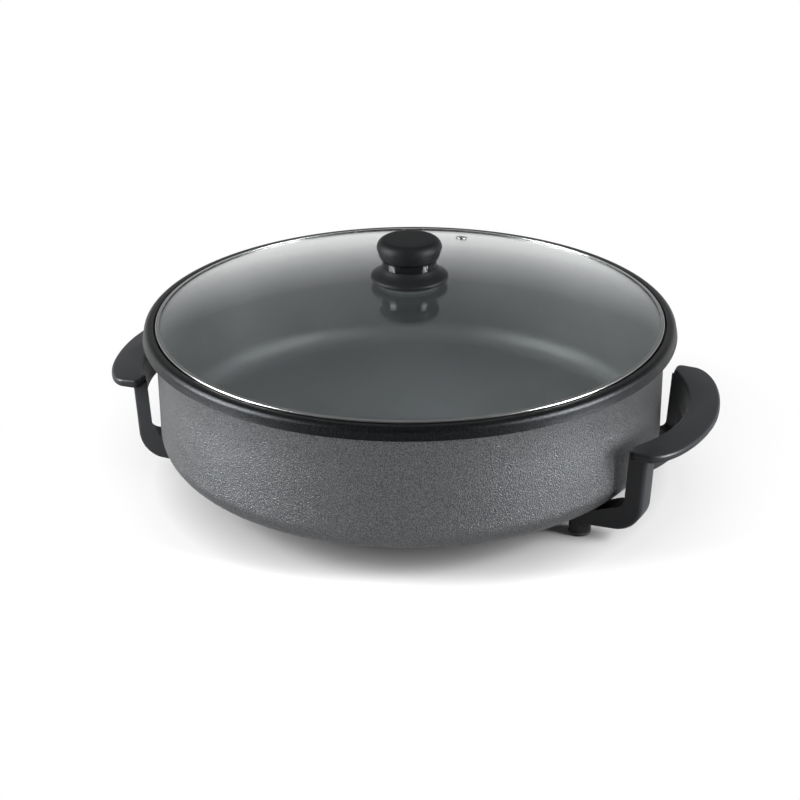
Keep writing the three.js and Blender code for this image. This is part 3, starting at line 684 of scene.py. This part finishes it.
def make_pocket():
    """The hollow under the grip, crossed by five ribs."""
    end = LEG_SIDE - LEG_WIDTH - 3
    half_depth = GRIP_HALF_DEPTH - POCKET_WALL
    half_width = GRIP_HALF_WIDTH - POCKET_WALL
    skirt_radius = FINGER_RADIUS + SKIRT_WALL
    far = math.degrees(math.asin(end / half_width))
    near = math.degrees(math.asin(end / skirt_radius))
    outline = [(GRIP_CENTRE + half_depth * x, half_width * y) for x, y in arc((0, 0), 1, -far, far, 36)]
    outline += arc((FINGER_CENTRE, 0.0), skirt_radius, near, -near, 30)
    pocket = raised("pocket", level(outline, GRIP_UNDER - 2), (0, 0, POCKET_DEPTH + 2))
    ribs = []
    for middle in RIB_PLACES:
        rib = rectangle(200, middle - RIB_HALF_WIDTH, 250, middle + RIB_HALF_WIDTH)
        ribs.append(raised("rib", level(rib, GRIP_UNDER - 4), (0, 0, 12)))
    return combine(pocket, ribs, "DIFFERENCE")


def make_skirt():
    """The curved wall under the grip; the finger space trims its inside."""
    low = finger_centre(SKIRT_LOWER)
    height = GRIP_UNDER + POCKET_DEPTH - SKIRT_LOWER
    band = arc((low, 0.0), FINGER_RADIUS + SKIRT_WALL, -SKIRT_REACH, SKIRT_REACH, 48)
    band += arc((low, 0.0), FINGER_RADIUS - 3, SKIRT_REACH, -SKIRT_REACH, 24)
    return raised("skirt", level(band, SKIRT_LOWER), (FINGER_LEAN * height, 0, height))


def make_finger_space():
    """The leaning round space for the fingers, with a fillet above the arms."""
    height = GRIP_TOP + 4 - ARM_TOP
    ring = arc((finger_centre(ARM_TOP), 0.0), FINGER_RADIUS, 0, 360, 240)[:-1]
    space = raised("finger_space", level(ring, ARM_TOP), (FINGER_LEAN * height, 0, height))
    bevel_picked(space, FINGER_FILLET, 6, lambda a, b: max(a.z, b.z) < ARM_TOP + TOUCH)
    return space


def make_leg(side):
    """One leg with its arm, drawn from the side and swept across, further out towards the middle."""
    outer_face = LEG_SIDE * side
    inner_face = outer_face - LEG_WIDTH * side
    elbow_top = ARM_LOWER + ARM_CORNER
    elbow_outer = LEG_OUTER - LEG_TAPER * (GRIP_UNDER - elbow_top)
    outline = [(POST_PLACE, ARM_LOWER)]
    outline += arc((elbow_outer - ARM_CORNER, elbow_top), ARM_CORNER, -90, 0, 14)
    outline += arc((LEG_OUTER + LEG_FILLET, GRIP_UNDER - LEG_FILLET), LEG_FILLET, 180, 90, 8)
    outline += [(LEG_OUTER + 14, GRIP_TOP - 4), (LEG_INNER, GRIP_TOP - 4), (LEG_INNER, ARM_TOP)]
    outline += [(LEG_INNER - 12, POST_TOP), (POST_PLACE, POST_TOP)]
    sweep = (LEG_TURN * LEG_WIDTH, -LEG_WIDTH * side, 0)
    leg = raised("leg", [(x, outer_face, z) for x, z in outline], sweep)
    bevel_picked(leg, LEG_OUTER_ROUND, 7, lambda a, b: on_leg_edge(a, b, outer_face))
    bevel_picked(leg, LEG_INNER_ROUND, 3, lambda a, b: on_leg_edge(a, b, inner_face))
    return leg


def on_leg_edge(a, b, side_face):
    """Whether an edge lies in that side face of a leg, along the leg's lower and outer side."""
    in_face = max(abs(a.y - side_face), abs(b.y - side_face)) < TOUCH
    return in_face and (min(a.x, b.x) > LEG_INNER + 1 or max(a.z, b.z) < ARM_LOWER + 1)


def on_grip_top(point):
    return abs(point.z - top_height(point.x)) < TOUCH


def make_handle():
    """Crescent grip, skirt, legs, arms and foot posts as one moulding at the +X side."""
    handle = combine(make_grip(), [make_skirt(), make_leg(-1), make_leg(1)], "UNION")
    combine(handle, [make_finger_space()], "DIFFERENCE")
    bevel_picked(handle, GRIP_TOP_ROUND, 6, lambda a, b: on_grip_top(a) and on_grip_top(b))
    post_lower = CAP_HEIGHT + SEAT_GAP
    post = [(0.0, POST_TOP), (POST_RADIUS - POST_EDGE, POST_TOP), (POST_RADIUS, POST_TOP - POST_EDGE)]
    post += [(POST_RADIUS, post_lower + 0.3), (POST_RADIUS - 0.3, post_lower), (0.0, post_lower)]
    recess = [(0.0, RECESS_LOWER), (RECESS_RADIUS, RECESS_LOWER), (RECESS_RADIUS, RECESS_TOP)]
    recess += [(SCREW_BORE_RADIUS, RECESS_TOP), (SCREW_BORE_RADIUS, SCREW_BORE_TOP), (0.0, SCREW_BORE_TOP)]
    places = [(POST_PLACE, POST_SIDE * side) for side in (-1, 1)]
    combine(handle, [turned_at("post", post, 48, x, y) for x, y in places], "UNION")
    return combine(handle, [turned_at("recess", recess, 32, x, y) for x, y in places], "DIFFERENCE")


def make_handles():
    right = make_handle()
    smooth(right, 28.0)
    left = turn_mesh(copy_of(right, "handle_left_moulding"), 180, "Z")
    finish_piece(right, (HANDLE_PLASTIC,), "pan", "handle_right")
    finish_piece(left, (HANDLE_PLASTIC,), "pan", "handle_left")


def make_feet():
    """Four rubber caps with a rounded edge, whose spigots plug the posts' recesses."""
    edge = arc((POST_RADIUS - CAP_ROUND, 2.6), CAP_ROUND, -76, 0, 6)
    profile = [(0.0, 0.0), (5.4, 0.0)] + [(min(r, POST_RADIUS), max(z, 0.0)) for r, z in edge]
    profile += [(POST_RADIUS, CAP_HEIGHT), (SPIGOT_RADIUS, CAP_HEIGHT)]
    profile += [(SPIGOT_RADIUS, CAP_HEIGHT + SPIGOT_HEIGHT), (0.0, CAP_HEIGHT + SPIGOT_HEIGHT)]
    first = turned_at("foot_pad_right_front", profile, 48, POST_PLACE, -POST_SIDE)
    others = (("right_rear", 0, 2 * POST_SIDE), ("left_front", -2 * POST_PLACE, 0),
              ("left_rear", -2 * POST_PLACE, 2 * POST_SIDE))
    for place, x, y in others:
        pad = shift(copy_of(first, f"foot_pad_{place}"), x, y)
        finish_piece(pad, (RUBBER,), "pan", f"foot_cap_{place}")
    finish_piece(first, (RUBBER,), "pan", "foot_cap_right_front")


# The lid

def glass_height(radius, offset):
    """The height of the domed glass's middle surface, or of one offset from it."""
    centre = GLASS_EDGE_HEIGHT + GLASS_RISE - GLASS_CURVE
    return centre + math.sqrt((GLASS_CURVE + offset) ** 2 - radius ** 2)


def make_lid_glass():
    """The glass dome, with a hole for the knob's screw."""
    half = GLASS_THICKNESS / 2
    count = 24
    radii = [GLASS_BORE + (GLASS_EDGE_RADIUS - GLASS_BORE) * i / count for i in range(count + 1)]
    profile = [(r, glass_height(r, -half)) for r in radii]
    profile += [(r, glass_height(r, half)) for r in reversed(radii)]
    glass = turned("lid_glass_dome", profile, steps=128, degrees=40.0)
    finish_piece(glass, (GLASS,), "lid", "lid_glass")


def make_lid_rim():
    """The thin steel channel round the glass's edge."""
    half = GLASS_THICKNESS / 2 + SEAT_GAP
    inner = RIM_RADIUS - RIM_DEPTH
    top = glass_height(GLASS_EDGE_RADIUS, half)
    over = glass_height(inner, half)
    wall = RIM_RADIUS - RIM_SHEET
    floor = RIM_LOWER + RIM_SHEET
    edge = RIM_SHEET / 2
    profile = [(inner, RIM_LOWER + 0.1), (inner + 0.2, RIM_LOWER)]
    profile += arc((wall, floor), RIM_SHEET, -90, 0, 5)
    profile += arc((RIM_RADIUS - RIM_ROUND, top + RIM_SHEET - RIM_ROUND), RIM_ROUND, 0, 90, 8)
    profile += [(GLASS_EDGE_RADIUS, top + RIM_SHEET), (inner + edge, over + RIM_SHEET)]
    profile += arc((inner + edge, over + edge), edge, 90, 180, 4)
    profile += [(inner, over), (GLASS_EDGE_RADIUS, top), (wall, top), (wall, floor), (inner, floor)]
    rim = turned("lid_rim_channel", profile, steps=160)
    finish_piece(rim, (POLISHED,), "lid", "lid_rim")


def make_vent():
    """The steam vent: an eyelet with a flat flange below the glass and a rolled one above, square to it."""
    half = GLASS_THICKNESS / 2 + SEAT_GAP
    bore, neck, flange = 2.0, 3.4, 4.9
    below = [(bore, 0.6), (bore + 0.4, 0.8), (flange - 0.3, 0.8), (flange, 0.4), (flange, 0.0), (neck, 0.0)]
    above = [(neck, 0.0), (flange, 0.0), (flange - 0.1, 0.35), (flange - 0.7, 0.7), (neck, 0.8)]
    above += [(bore + 0.6, 0.7), (bore + 0.1, 0.4), (bore, 0.0)]
    profile = [(r, -half - drop) for r, drop in below] + [(r, half + rise) for r, rise in above]
    vent = turned("steam_vent_eyelet", profile, steps=48)
    tilt = math.degrees(math.asin(VENT_PLACE / GLASS_CURVE))
    shift(turn_mesh(vent, -tilt, "X"), 0, VENT_PLACE, glass_height(VENT_PLACE, 0))
    turn_mesh(vent, VENT_TURN, "Z")
    finish_piece(vent, (VENT_STEEL,), "lid", "steam_vent")


def make_knob():
    """Flared base, polished neck with painted shade in its darker colour, and rounded head; its profile is
    measured from its own foot.
    """
    base = [(0.0, 0.0), (27.9, 0.0)] + arc((28.1, 2.4), 2.4, -70, 50, 8)
    base += [(28.2, 5.2), (26.4, 6.3), (24.7, 7.5), (23.2, 8.9), (22.1, 10.2), (21.6, 11.0)]
    neck = [(21.1, 11.3), (21.1, 11.8), (21.3, 12.0), (21.3, 16.6), (21.8, 17.3), (22.6, 18.0)]
    head = [(23.2, 18.7), (24.3, 22.2), (25.2, 25.0)]
    crown = [(19.0 + 6.5 * x, 26.2 + 7.0 * z) for x, z in arc((0, 0), 1, 0, 90, 12)]
    top = [(12.0, 33.2), (0.0, 33.2)]
    profile = [(r, KNOB_LOWER + z) for r, z in base + neck + head + crown + top]
    knob = turned("knob_grip", profile, steps=96, degrees=30.0)
    finish_piece(knob, (KNOB_PLASTIC, SHADED_NECK_PLASTIC), "lid", "knob")
    neck_low, neck_high = KNOB_NECK
    for face in knob.data.polygons:
        face.material_index = int(neck_low < face.center.z / MM - KNOB_LOWER < neck_high)


def make_knob_fixings():
    """Gasket above the glass, washer and domed screw below it."""
    high = KNOB_LOWER - SEAT_GAP
    low = high - GASKET_THICKNESS
    bore, radius, edge = 4.0, 24.0, 0.3
    profile = [(bore, low), (radius - edge, low), (radius, low + edge), (radius, high - edge)]
    profile += [(radius - edge, high), (bore, high)]
    gasket = turned("knob_gasket_ring", profile, steps=96)
    finish_piece(gasket, (SILICONE,), "lid", "knob_gasket")

    high = low - GLASS_THICKNESS - 2 * SEAT_GAP
    low = high - WASHER_THICKNESS
    bore, radius = 2.7, 11.0
    profile = [(bore, low), (radius - 0.8, low), (radius, low + 0.6), (radius, high), (bore, high)]
    washer = turned("lid_washer_disc", profile, steps=64)
    finish_piece(washer, (SHEET_STEEL,), "lid", "lid_washer")

    tip = KNOB_LOWER + 9.0
    head = [(0.0, 3.2), (2.4, 3.1), (3.9, 2.5), (4.7, 1.4), (5.0, 0.0)]
    shank = [(2.4, tip - 0.4), (2.0, tip), (0.0, tip)]
    screw = driven_screw("lid_screw_turned", head, low - SEAT_GAP, shank, 3.2)
    finish_piece(screw, (SCREW_STEEL,), "lid", "lid_screw")


def driven_screw(name, head, seat, shank, face_drop, x=0.0, y=0.0):
    """A screw that points up: a head of (radius, drop below its seat) and a shank of (radius, height)."""
    profile = [(r, seat - drop) for r, drop in head] + [(shank[0][0], seat)] + shank
    screw = turned_at(name, profile, 32, x, y)
    return cross_recess(screw, x, y, seat - face_drop)


def cross_recess(screw, x, y, face):
    """Cuts the driver's cross into a screw head that faces down."""
    long_half, short_half = 2.1, 0.45
    bars = []
    for across, along in ((long_half, short_half), (short_half, long_half)):
        bar = rectangle(x - across, y - along, x + across, y + along)
        bars.append(raised("driver_bar", level(bar, face - 1), (0, 0, 2.2)))
    return combine(screw, bars, "DIFFERENCE")


# Under the pan

def make_disc():
    """The cast disc that spreads the heat, with a boss for the cover's screw."""
    boss, bore, bore_end = 7.0, 2.0, DISC_BOSS_LOWER + 5
    profile = [(bore, DISC_BOSS_LOWER), (boss - 0.6, DISC_BOSS_LOWER), (boss, DISC_BOSS_LOWER + 0.6)]
    profile += [(boss, DISC_LOWER - 0.8), (boss + 0.8, DISC_LOWER), (DISC_RADIUS - 1.0, DISC_LOWER)]
    profile += [(DISC_RADIUS - 0.3, DISC_LOWER + 0.3), (DISC_RADIUS, DISC_LOWER + 1.0)]
    profile += [(DISC_RADIUS, POST_TOP - 0.4), (DISC_RADIUS - 0.4, POST_TOP), (0.0, POST_TOP)]
    profile += [(0.0, bore_end), (bore, bore_end)]
    disc = turned("thermal_disc_plate", profile, steps=128)
    finish_piece(disc, (CAST,), "pan", "thermal_disc")


def element_route():
    """In along one cold end, round the ring, and out along the other."""
    bend_x = TERMINAL_SIDE + ELEMENT_BEND
    bend_y = math.sqrt((ELEMENT_RING + ELEMENT_BEND) ** 2 - bend_x ** 2)
    turn = math.degrees(math.atan2(bend_y, bend_x))
    right = [(TERMINAL_SIDE, COLD_END), (TERMINAL_SIDE, (COLD_END + bend_y) / 2)]
    right += arc((bend_x, bend_y), ELEMENT_BEND, 180, 180 + turn, 8)
    right += arc((0.0, 0.0), ELEMENT_RING, turn, -90, 40)[1:]
    return right + [(-x, y) for x, y in reversed(right[:-1])]


def make_element():
    """The bent tube, as a thick curve that is made a mesh."""
    route = element_route()
    pick_nothing()
    bpy.ops.curve.primitive_bezier_circle_add()
    holder = bpy.context.object
    holder.name = "heating_tube"
    curve = holder.data
    curve.splines.clear()
    line = curve.splines.new("POLY")
    line.points.add(len(route) - 1)
    for point, (x, y) in zip(line.points, route):
        point.co = (x * MM, y * MM, ELEMENT_HEIGHT * MM, 1)
    curve.bevel_depth = TUBE_RADIUS * MM
    curve.bevel_resolution = 4
    curve.use_fill_caps = True
    pick_only(holder)
    bpy.ops.object.convert(target="MESH")
    tube = bpy.context.object
    bpy.ops.object.mode_set(mode="EDIT")
    clean_mesh()
    smooth(tube, 40.0)
    finish_piece(tube, (SHEATH,), "pan", "heating_element")


def make_inlet():
    """Insulators, pins and probe sleeve, which lie along Y inside a steel guard."""
    near = COLD_END + SEAT_GAP
    bead = [(2.65, near), (4.2, near), (4.6, near + 0.4), (4.6, near + 6.2), (3.9, near + 6.6)]
    bead += [(3.9, near + 9.1), (3.5, near + 9.5), (2.65, near + 9.5)]
    start = COLD_END + 0.6
    pin = [(0.0, start), (2.35, start), (2.35, PIN_END - 2.4), (2.1, PIN_END - 1.0), (1.3, PIN_END - 0.2)]
    pin += [(0.0, PIN_END)]
    for hand, x in (("right", TERMINAL_SIDE), ("left", -TERMINAL_SIDE)):
        piece = along_y(f"insulator_bead_{hand}", bead, 40, x, ELEMENT_HEIGHT)
        finish_piece(piece, (CERAMIC,), "pan", f"terminal_insulator_{hand}")
        piece = along_y(f"contact_pin_{hand}", pin, 32, x, ELEMENT_HEIGHT)
        finish_piece(piece, (BRASS,), "pan", f"terminal_pin_{hand}")
    closed, mouth = 126.0, 165.5
    sleeve = [(0.0, closed), (PROBE_RADIUS - 0.7, closed), (PROBE_RADIUS, closed + 0.7)]
    sleeve += [(PROBE_RADIUS, mouth - 0.4), (PROBE_RADIUS - 0.3, mouth), (PROBE_BORE + 0.3, mouth)]
    sleeve += [(PROBE_BORE, mouth - 0.4), (PROBE_BORE, closed + 2), (0.0, closed + 2)]
    piece = along_y("probe_sleeve_tube", sleeve, 40, 0, PROBE_HEIGHT)
    finish_piece(piece, (CAST,), "pan", "probe_sleeve")
    make_guard()
    make_guard_screws()


def upright_box(half_width, low, high, radius, y):
    """A rectangle with rounded corners, standing across Y."""
    side = half_width - radius
    points = []
    for x, z, start in ((side, low + radius, -90), (side, high - radius, 0),
                        (-side, high - radius, 90), (-side, low + radius, 180)):
        points += arc((x, z), radius, start, start + 90, 5)
    return [(x, y, z) for x, z in points]


def make_guard():
    """The open steel box round the terminals, with two tabs, and holes for the pins and the probe."""
    box = upright_box(GUARD_HALF_WIDTH, GUARD_LOWER, POST_TOP, GUARD_CORNER, GUARD_INNER)
    guard = raised("inlet_guard_sheet", box, (0, GUARD_OUTER - GUARD_INNER, 0))
    tabs = []
    tab_root, tab_end, tab_near, tab_far = 20, 34, 168, 178
    for side in (-1, 1):
        outline = rectangle(side * tab_root, tab_near, side * tab_end, tab_far)
        tab = raised("tab", level(outline, POST_TOP - GUARD_SHEET), (0, 0, GUARD_SHEET))
        bevel_picked(tab, 2.0, 4, lambda a, b: is_upright(a, b) and min(abs(a.x), abs(b.x)) > tab_end - 1)
        tabs.append(tab)
    combine(guard, tabs, "UNION")
    inside = upright_box(GUARD_HALF_WIDTH - GUARD_SHEET, GUARD_LOWER + GUARD_SHEET, POST_TOP - GUARD_SHEET,
                         GUARD_CORNER - GUARD_SHEET, GUARD_INNER + GUARD_SHEET)
    cuts = [raised("hollow", inside, (0, 30, 0))]
    screw_hole, pin_hole = 2.0, 4.9
    hole = [(0.0, POST_TOP - 3), (screw_hole, POST_TOP - 3), (screw_hole, POST_TOP + 2), (0.0, POST_TOP + 2)]
    for side in (-1, 1):
        cuts.append(turned_at("hole", hole, 24, side * GUARD_SCREW_SIDE, GUARD_SCREW_PLACE))
        cuts.append(along_y("passage", passage(pin_hole), 32, side * TERMINAL_SIDE, ELEMENT_HEIGHT))
    cuts.append(along_y("passage", passage(PROBE_BORE), 32, 0, PROBE_HEIGHT))
    combine(guard, cuts, "DIFFERENCE")
    smooth(guard, 35.0)
    finish_piece(guard, (SHEET_STEEL,), "pan", "inlet_guard")


def passage(radius):
    """A round cutter through the guard's back."""
    near, far = GUARD_INNER - 2, GUARD_INNER + 3
    return [(0.0, near), (radius, near), (radius, far), (0.0, far)]


def make_guard_screws():
    seat = POST_TOP - GUARD_SHEET - SEAT_GAP
    head = [(0.0, 1.8), (1.6, 1.7), (2.6, 1.1), (3.0, 0.0)]
    shank = [(1.7, 28.4), (0.0, 28.4)]
    for hand, side in (("right", 1), ("left", -1)):
        screw = driven_screw(f"guard_screw_{hand}", head, seat, shank, 2.0, side * GUARD_SCREW_SIDE,
                             GUARD_SCREW_PLACE)
        finish_piece(screw, (SCREW_STEEL,), "pan", f"inlet_guard_screw_{hand}")


def bead_section(floor, half):
    """Both sides of the cover's bead; half gives each point's distance from its middle and its rise."""
    inner = [(COVER_BEAD - across, floor + rise) for across, rise in half]
    outer = [(COVER_BEAD + across, floor + rise) for across, rise in reversed(half)]
    return inner + outer


def make_cover():
    """Pressed cover under the disc, with one bead and a notch for the cold ends."""
    top = DISC_LOWER - SEAT_GAP
    floor = top - COVER_DEPTH
    below = floor - COVER_SHEET
    profile = [(COVER_BORE, below)] + bead_section(floor, [(7.0, -1), (5.8, -0.6), (4.8, 0.4), (3.6, 0.6)])
    profile += [(133.4, below), (134.8, floor - 0.6), (136.0, floor + 0.8), (139.2, top - 2.2)]
    profile += [(140.2, top - 1.2), (141.4, top - 1), (145.6, top - 1), (146.0, top - 0.7)]
    profile += [(146.0, top - 0.3), (145.6, top), (140.6, top), (139.2, top - 0.8)]
    profile += [(135.2, floor + 1.2), (134.2, floor)]
    profile += reversed(bead_section(floor, [(7.4, 0), (6.2, 0.4), (5.0, 1.4)]))
    profile += [(COVER_BORE, floor)]
    cover = turned("bottom_cover_dish", profile, steps=128)
    notch_side, notch_end, notch_mouth = 24, 118, 150
    outline = rectangle(-notch_side, notch_end, notch_side, notch_mouth)
    notch = raised("notch", level(outline, floor - 0.001), (0, 0, 14))
    bevel_picked(notch, 4.0, 4, lambda a, b: is_upright(a, b) and max(a.y, b.y) < notch_end + 1)
    combine(cover, [notch], "DIFFERENCE")
    smooth(cover, 35.0)
    finish_piece(cover, (SHEET_STEEL,), "pan", "bottom_cover")
    head = [(0.0, 2.6), (2.2, 2.4), (3.4, 1.7), (4.0, 0.0)]
    shank = [(1.7, 18.4), (0.0, 18.4)]
    screw = driven_screw("cover_screw_turned", head, below - SEAT_GAP, shank, 2.8)
    finish_piece(screw, (SCREW_STEEL,), "pan", "cover_screw")


def finish_kept_nodes():
    """Gives materials to the CAD nodes that stay as they are, by the beginnings of their names."""
    materials = {"element_clip": SHEET_STEEL, "handle_screw": SCREW_STEEL, "knob_insert": BRASS}
    for name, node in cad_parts.items():
        for beginning, material in materials.items():
            if name.startswith(beginning):
                for slot in node.material_slots:
                    slot.material = material


# Studio

def grey(strength):
    return (strength, strength, strength)


def make_floor():
    """A floor that takes the pan's shadow near it, with a painted shadow darkening its grey towards the pan's
    axis, and is white further out; from below it isn't seen.

    Metal and glass show it white behind the pan and grey elsewhere, and it sends little light back.
    """
    pick_nothing()
    bpy.ops.mesh.primitive_plane_add(size=24)
    floor = bpy.context.object
    floor.name = "studio_floor"
    ground = Finish("white studio floor")
    x, y, _ = ground.parts(ground.place)
    radius = (x * x + y * y) ** 0.5
    white = ground.node("ShaderNodeEmission", Color=grey(1))
    dim = ground.node("ShaderNodeBsdfDiffuse", Color=grey(0.25))
    # Painted shadow: the floor's own grey falls from 0.6 to 0.1 towards the pan's axis, under the pan.
    painted_shadow_grey = ground.blend(ground.between(radius, 0.12, 0.21), grey(0.1), grey(0.6))
    near = ground.node("ShaderNodeBsdfDiffuse", Color=painted_shadow_grey)
    mirrored_near = ground.node("ShaderNodeBsdfDiffuse", Color=grey(0.32))
    shown = ground.choose(ground.between(radius, 0.22, 0.36), near, white)
    behind = ground.between(y * BACKWARD - x * LEFTWARD, -0.6, 0.4)
    mirrored = ground.choose(ground.between(radius, 0.8, 1.4) * behind, mirrored_near, white)
    mirroring = ground.either(ground.ray("Glossy"), ground.ray("Transmission"))
    surface = ground.choose(ground.ray("Camera"), ground.choose(mirroring, dim, mirrored), shown)
    underside = ground.node("ShaderNodeNewGeometry", output="Backfacing")
    clear = ground.node("ShaderNodeBsdfTransparent", Color=grey(1))
    floor.data.materials.append(ground.show(ground.choose(underside, surface, clear)))


def make_world():
    """A white backdrop for the camera; metal and glass see it greyer above and in front; dim for the rest."""
    world = bpy.data.worlds.new("pale studio")
    bpy.context.scene.world = world
    world.use_nodes = True
    sky = Nodes(world.node_tree)
    direction = sky.node("ShaderNodeTexCoord", output="Generated")
    backward = sky.node("ShaderNodeVectorMath", {"operation": "DOT_PRODUCT"}, output="Value",
                        at0=direction, at1=(-LEFTWARD, BACKWARD, 0))
    upward = sky.parts(direction)[2]
    fade = sky.between(backward, -0.5, 0.1, 0.25, 1.0) * sky.between(upward, 0.03, 0.36, 1.0, 0.25)
    dim = sky.node("ShaderNodeBackground", Color=grey(1), Strength=0.2)
    shown = sky.node("ShaderNodeBackground", Color=sky.either(fade, sky.ray("Camera")), Strength=1.0)
    showing = sky.either(sky.either(sky.ray("Camera"), sky.ray("Glossy")), sky.ray("Transmission"))
    sky.node("ShaderNodeOutputWorld", Surface=sky.choose(showing, dim, shown))


def make_lamp(name, place, aim, width, height, watts, mirrored=True):
    """A rectangular softbox, which metal and glass may show."""
    lamp = bpy.data.lights.new(name, "AREA")
    lamp.shape = "RECTANGLE"
    lamp.size = width
    lamp.size_y = height
    lamp.energy = watts
    holder = bpy.data.objects.new(name, lamp)
    holder.location = place
    holder.visible_glossy = mirrored
    holder.visible_transmission = mirrored
    holder.rotation_euler = (Vector(aim) - Vector(place)).to_track_quat("-Z", "Y").to_euler()
    bpy.context.scene.collection.objects.link(holder)


def make_camera():
    """The photograph's view: nearly level, from the front and a little to the right."""
    eye = Vector((451.05, -1284.20, 689.52)) * MM
    aim = Vector((-7.77, -2.78, 59.09)) * MM
    roll = math.radians(-0.485)
    forward = (aim - eye).normalized()
    across = forward.cross(Vector((0, 0, 1))).normalized()
    upward = across.cross(forward)
    right = across * math.cos(roll) + upward * math.sin(roll)
    top = upward * math.cos(roll) - across * math.sin(roll)
    camera = bpy.data.cameras.new("camera")
    camera.lens = 83.685
    camera.sensor_width = 36
    holder = bpy.data.objects.new("camera", camera)
    turn = Matrix((right, top, -forward)).transposed().to_4x4()
    holder.matrix_world = Matrix.Translation(eye) @ turn
    bpy.context.scene.collection.objects.link(holder)
    bpy.context.scene.camera = holder


make_pan()
make_handles()
make_feet()
make_disc()
make_element()
make_inlet()
make_cover()
make_knob_fixings()
make_lid_glass()
make_lid_rim()
make_vent()
make_knob()
finish_kept_nodes()

make_floor()
make_world()
make_lamp("ceiling softbox", (0.1, 0.3, 2.2), (0, 0, 0.05), 2.4, 2.0, 7, mirrored=False)
make_lamp("left softbox", (-1.53, -0.85, 0.7), (0, 0, 0.1), 1.0, 1.3, 110)
make_lamp("right softbox", (1.75, -0.05, 0.7), (0, 0, 0.1), 0.7, 1.3, 98)
make_camera()
bpy.context.scene.view_settings.view_transform = "Standard"
pick_nothing()
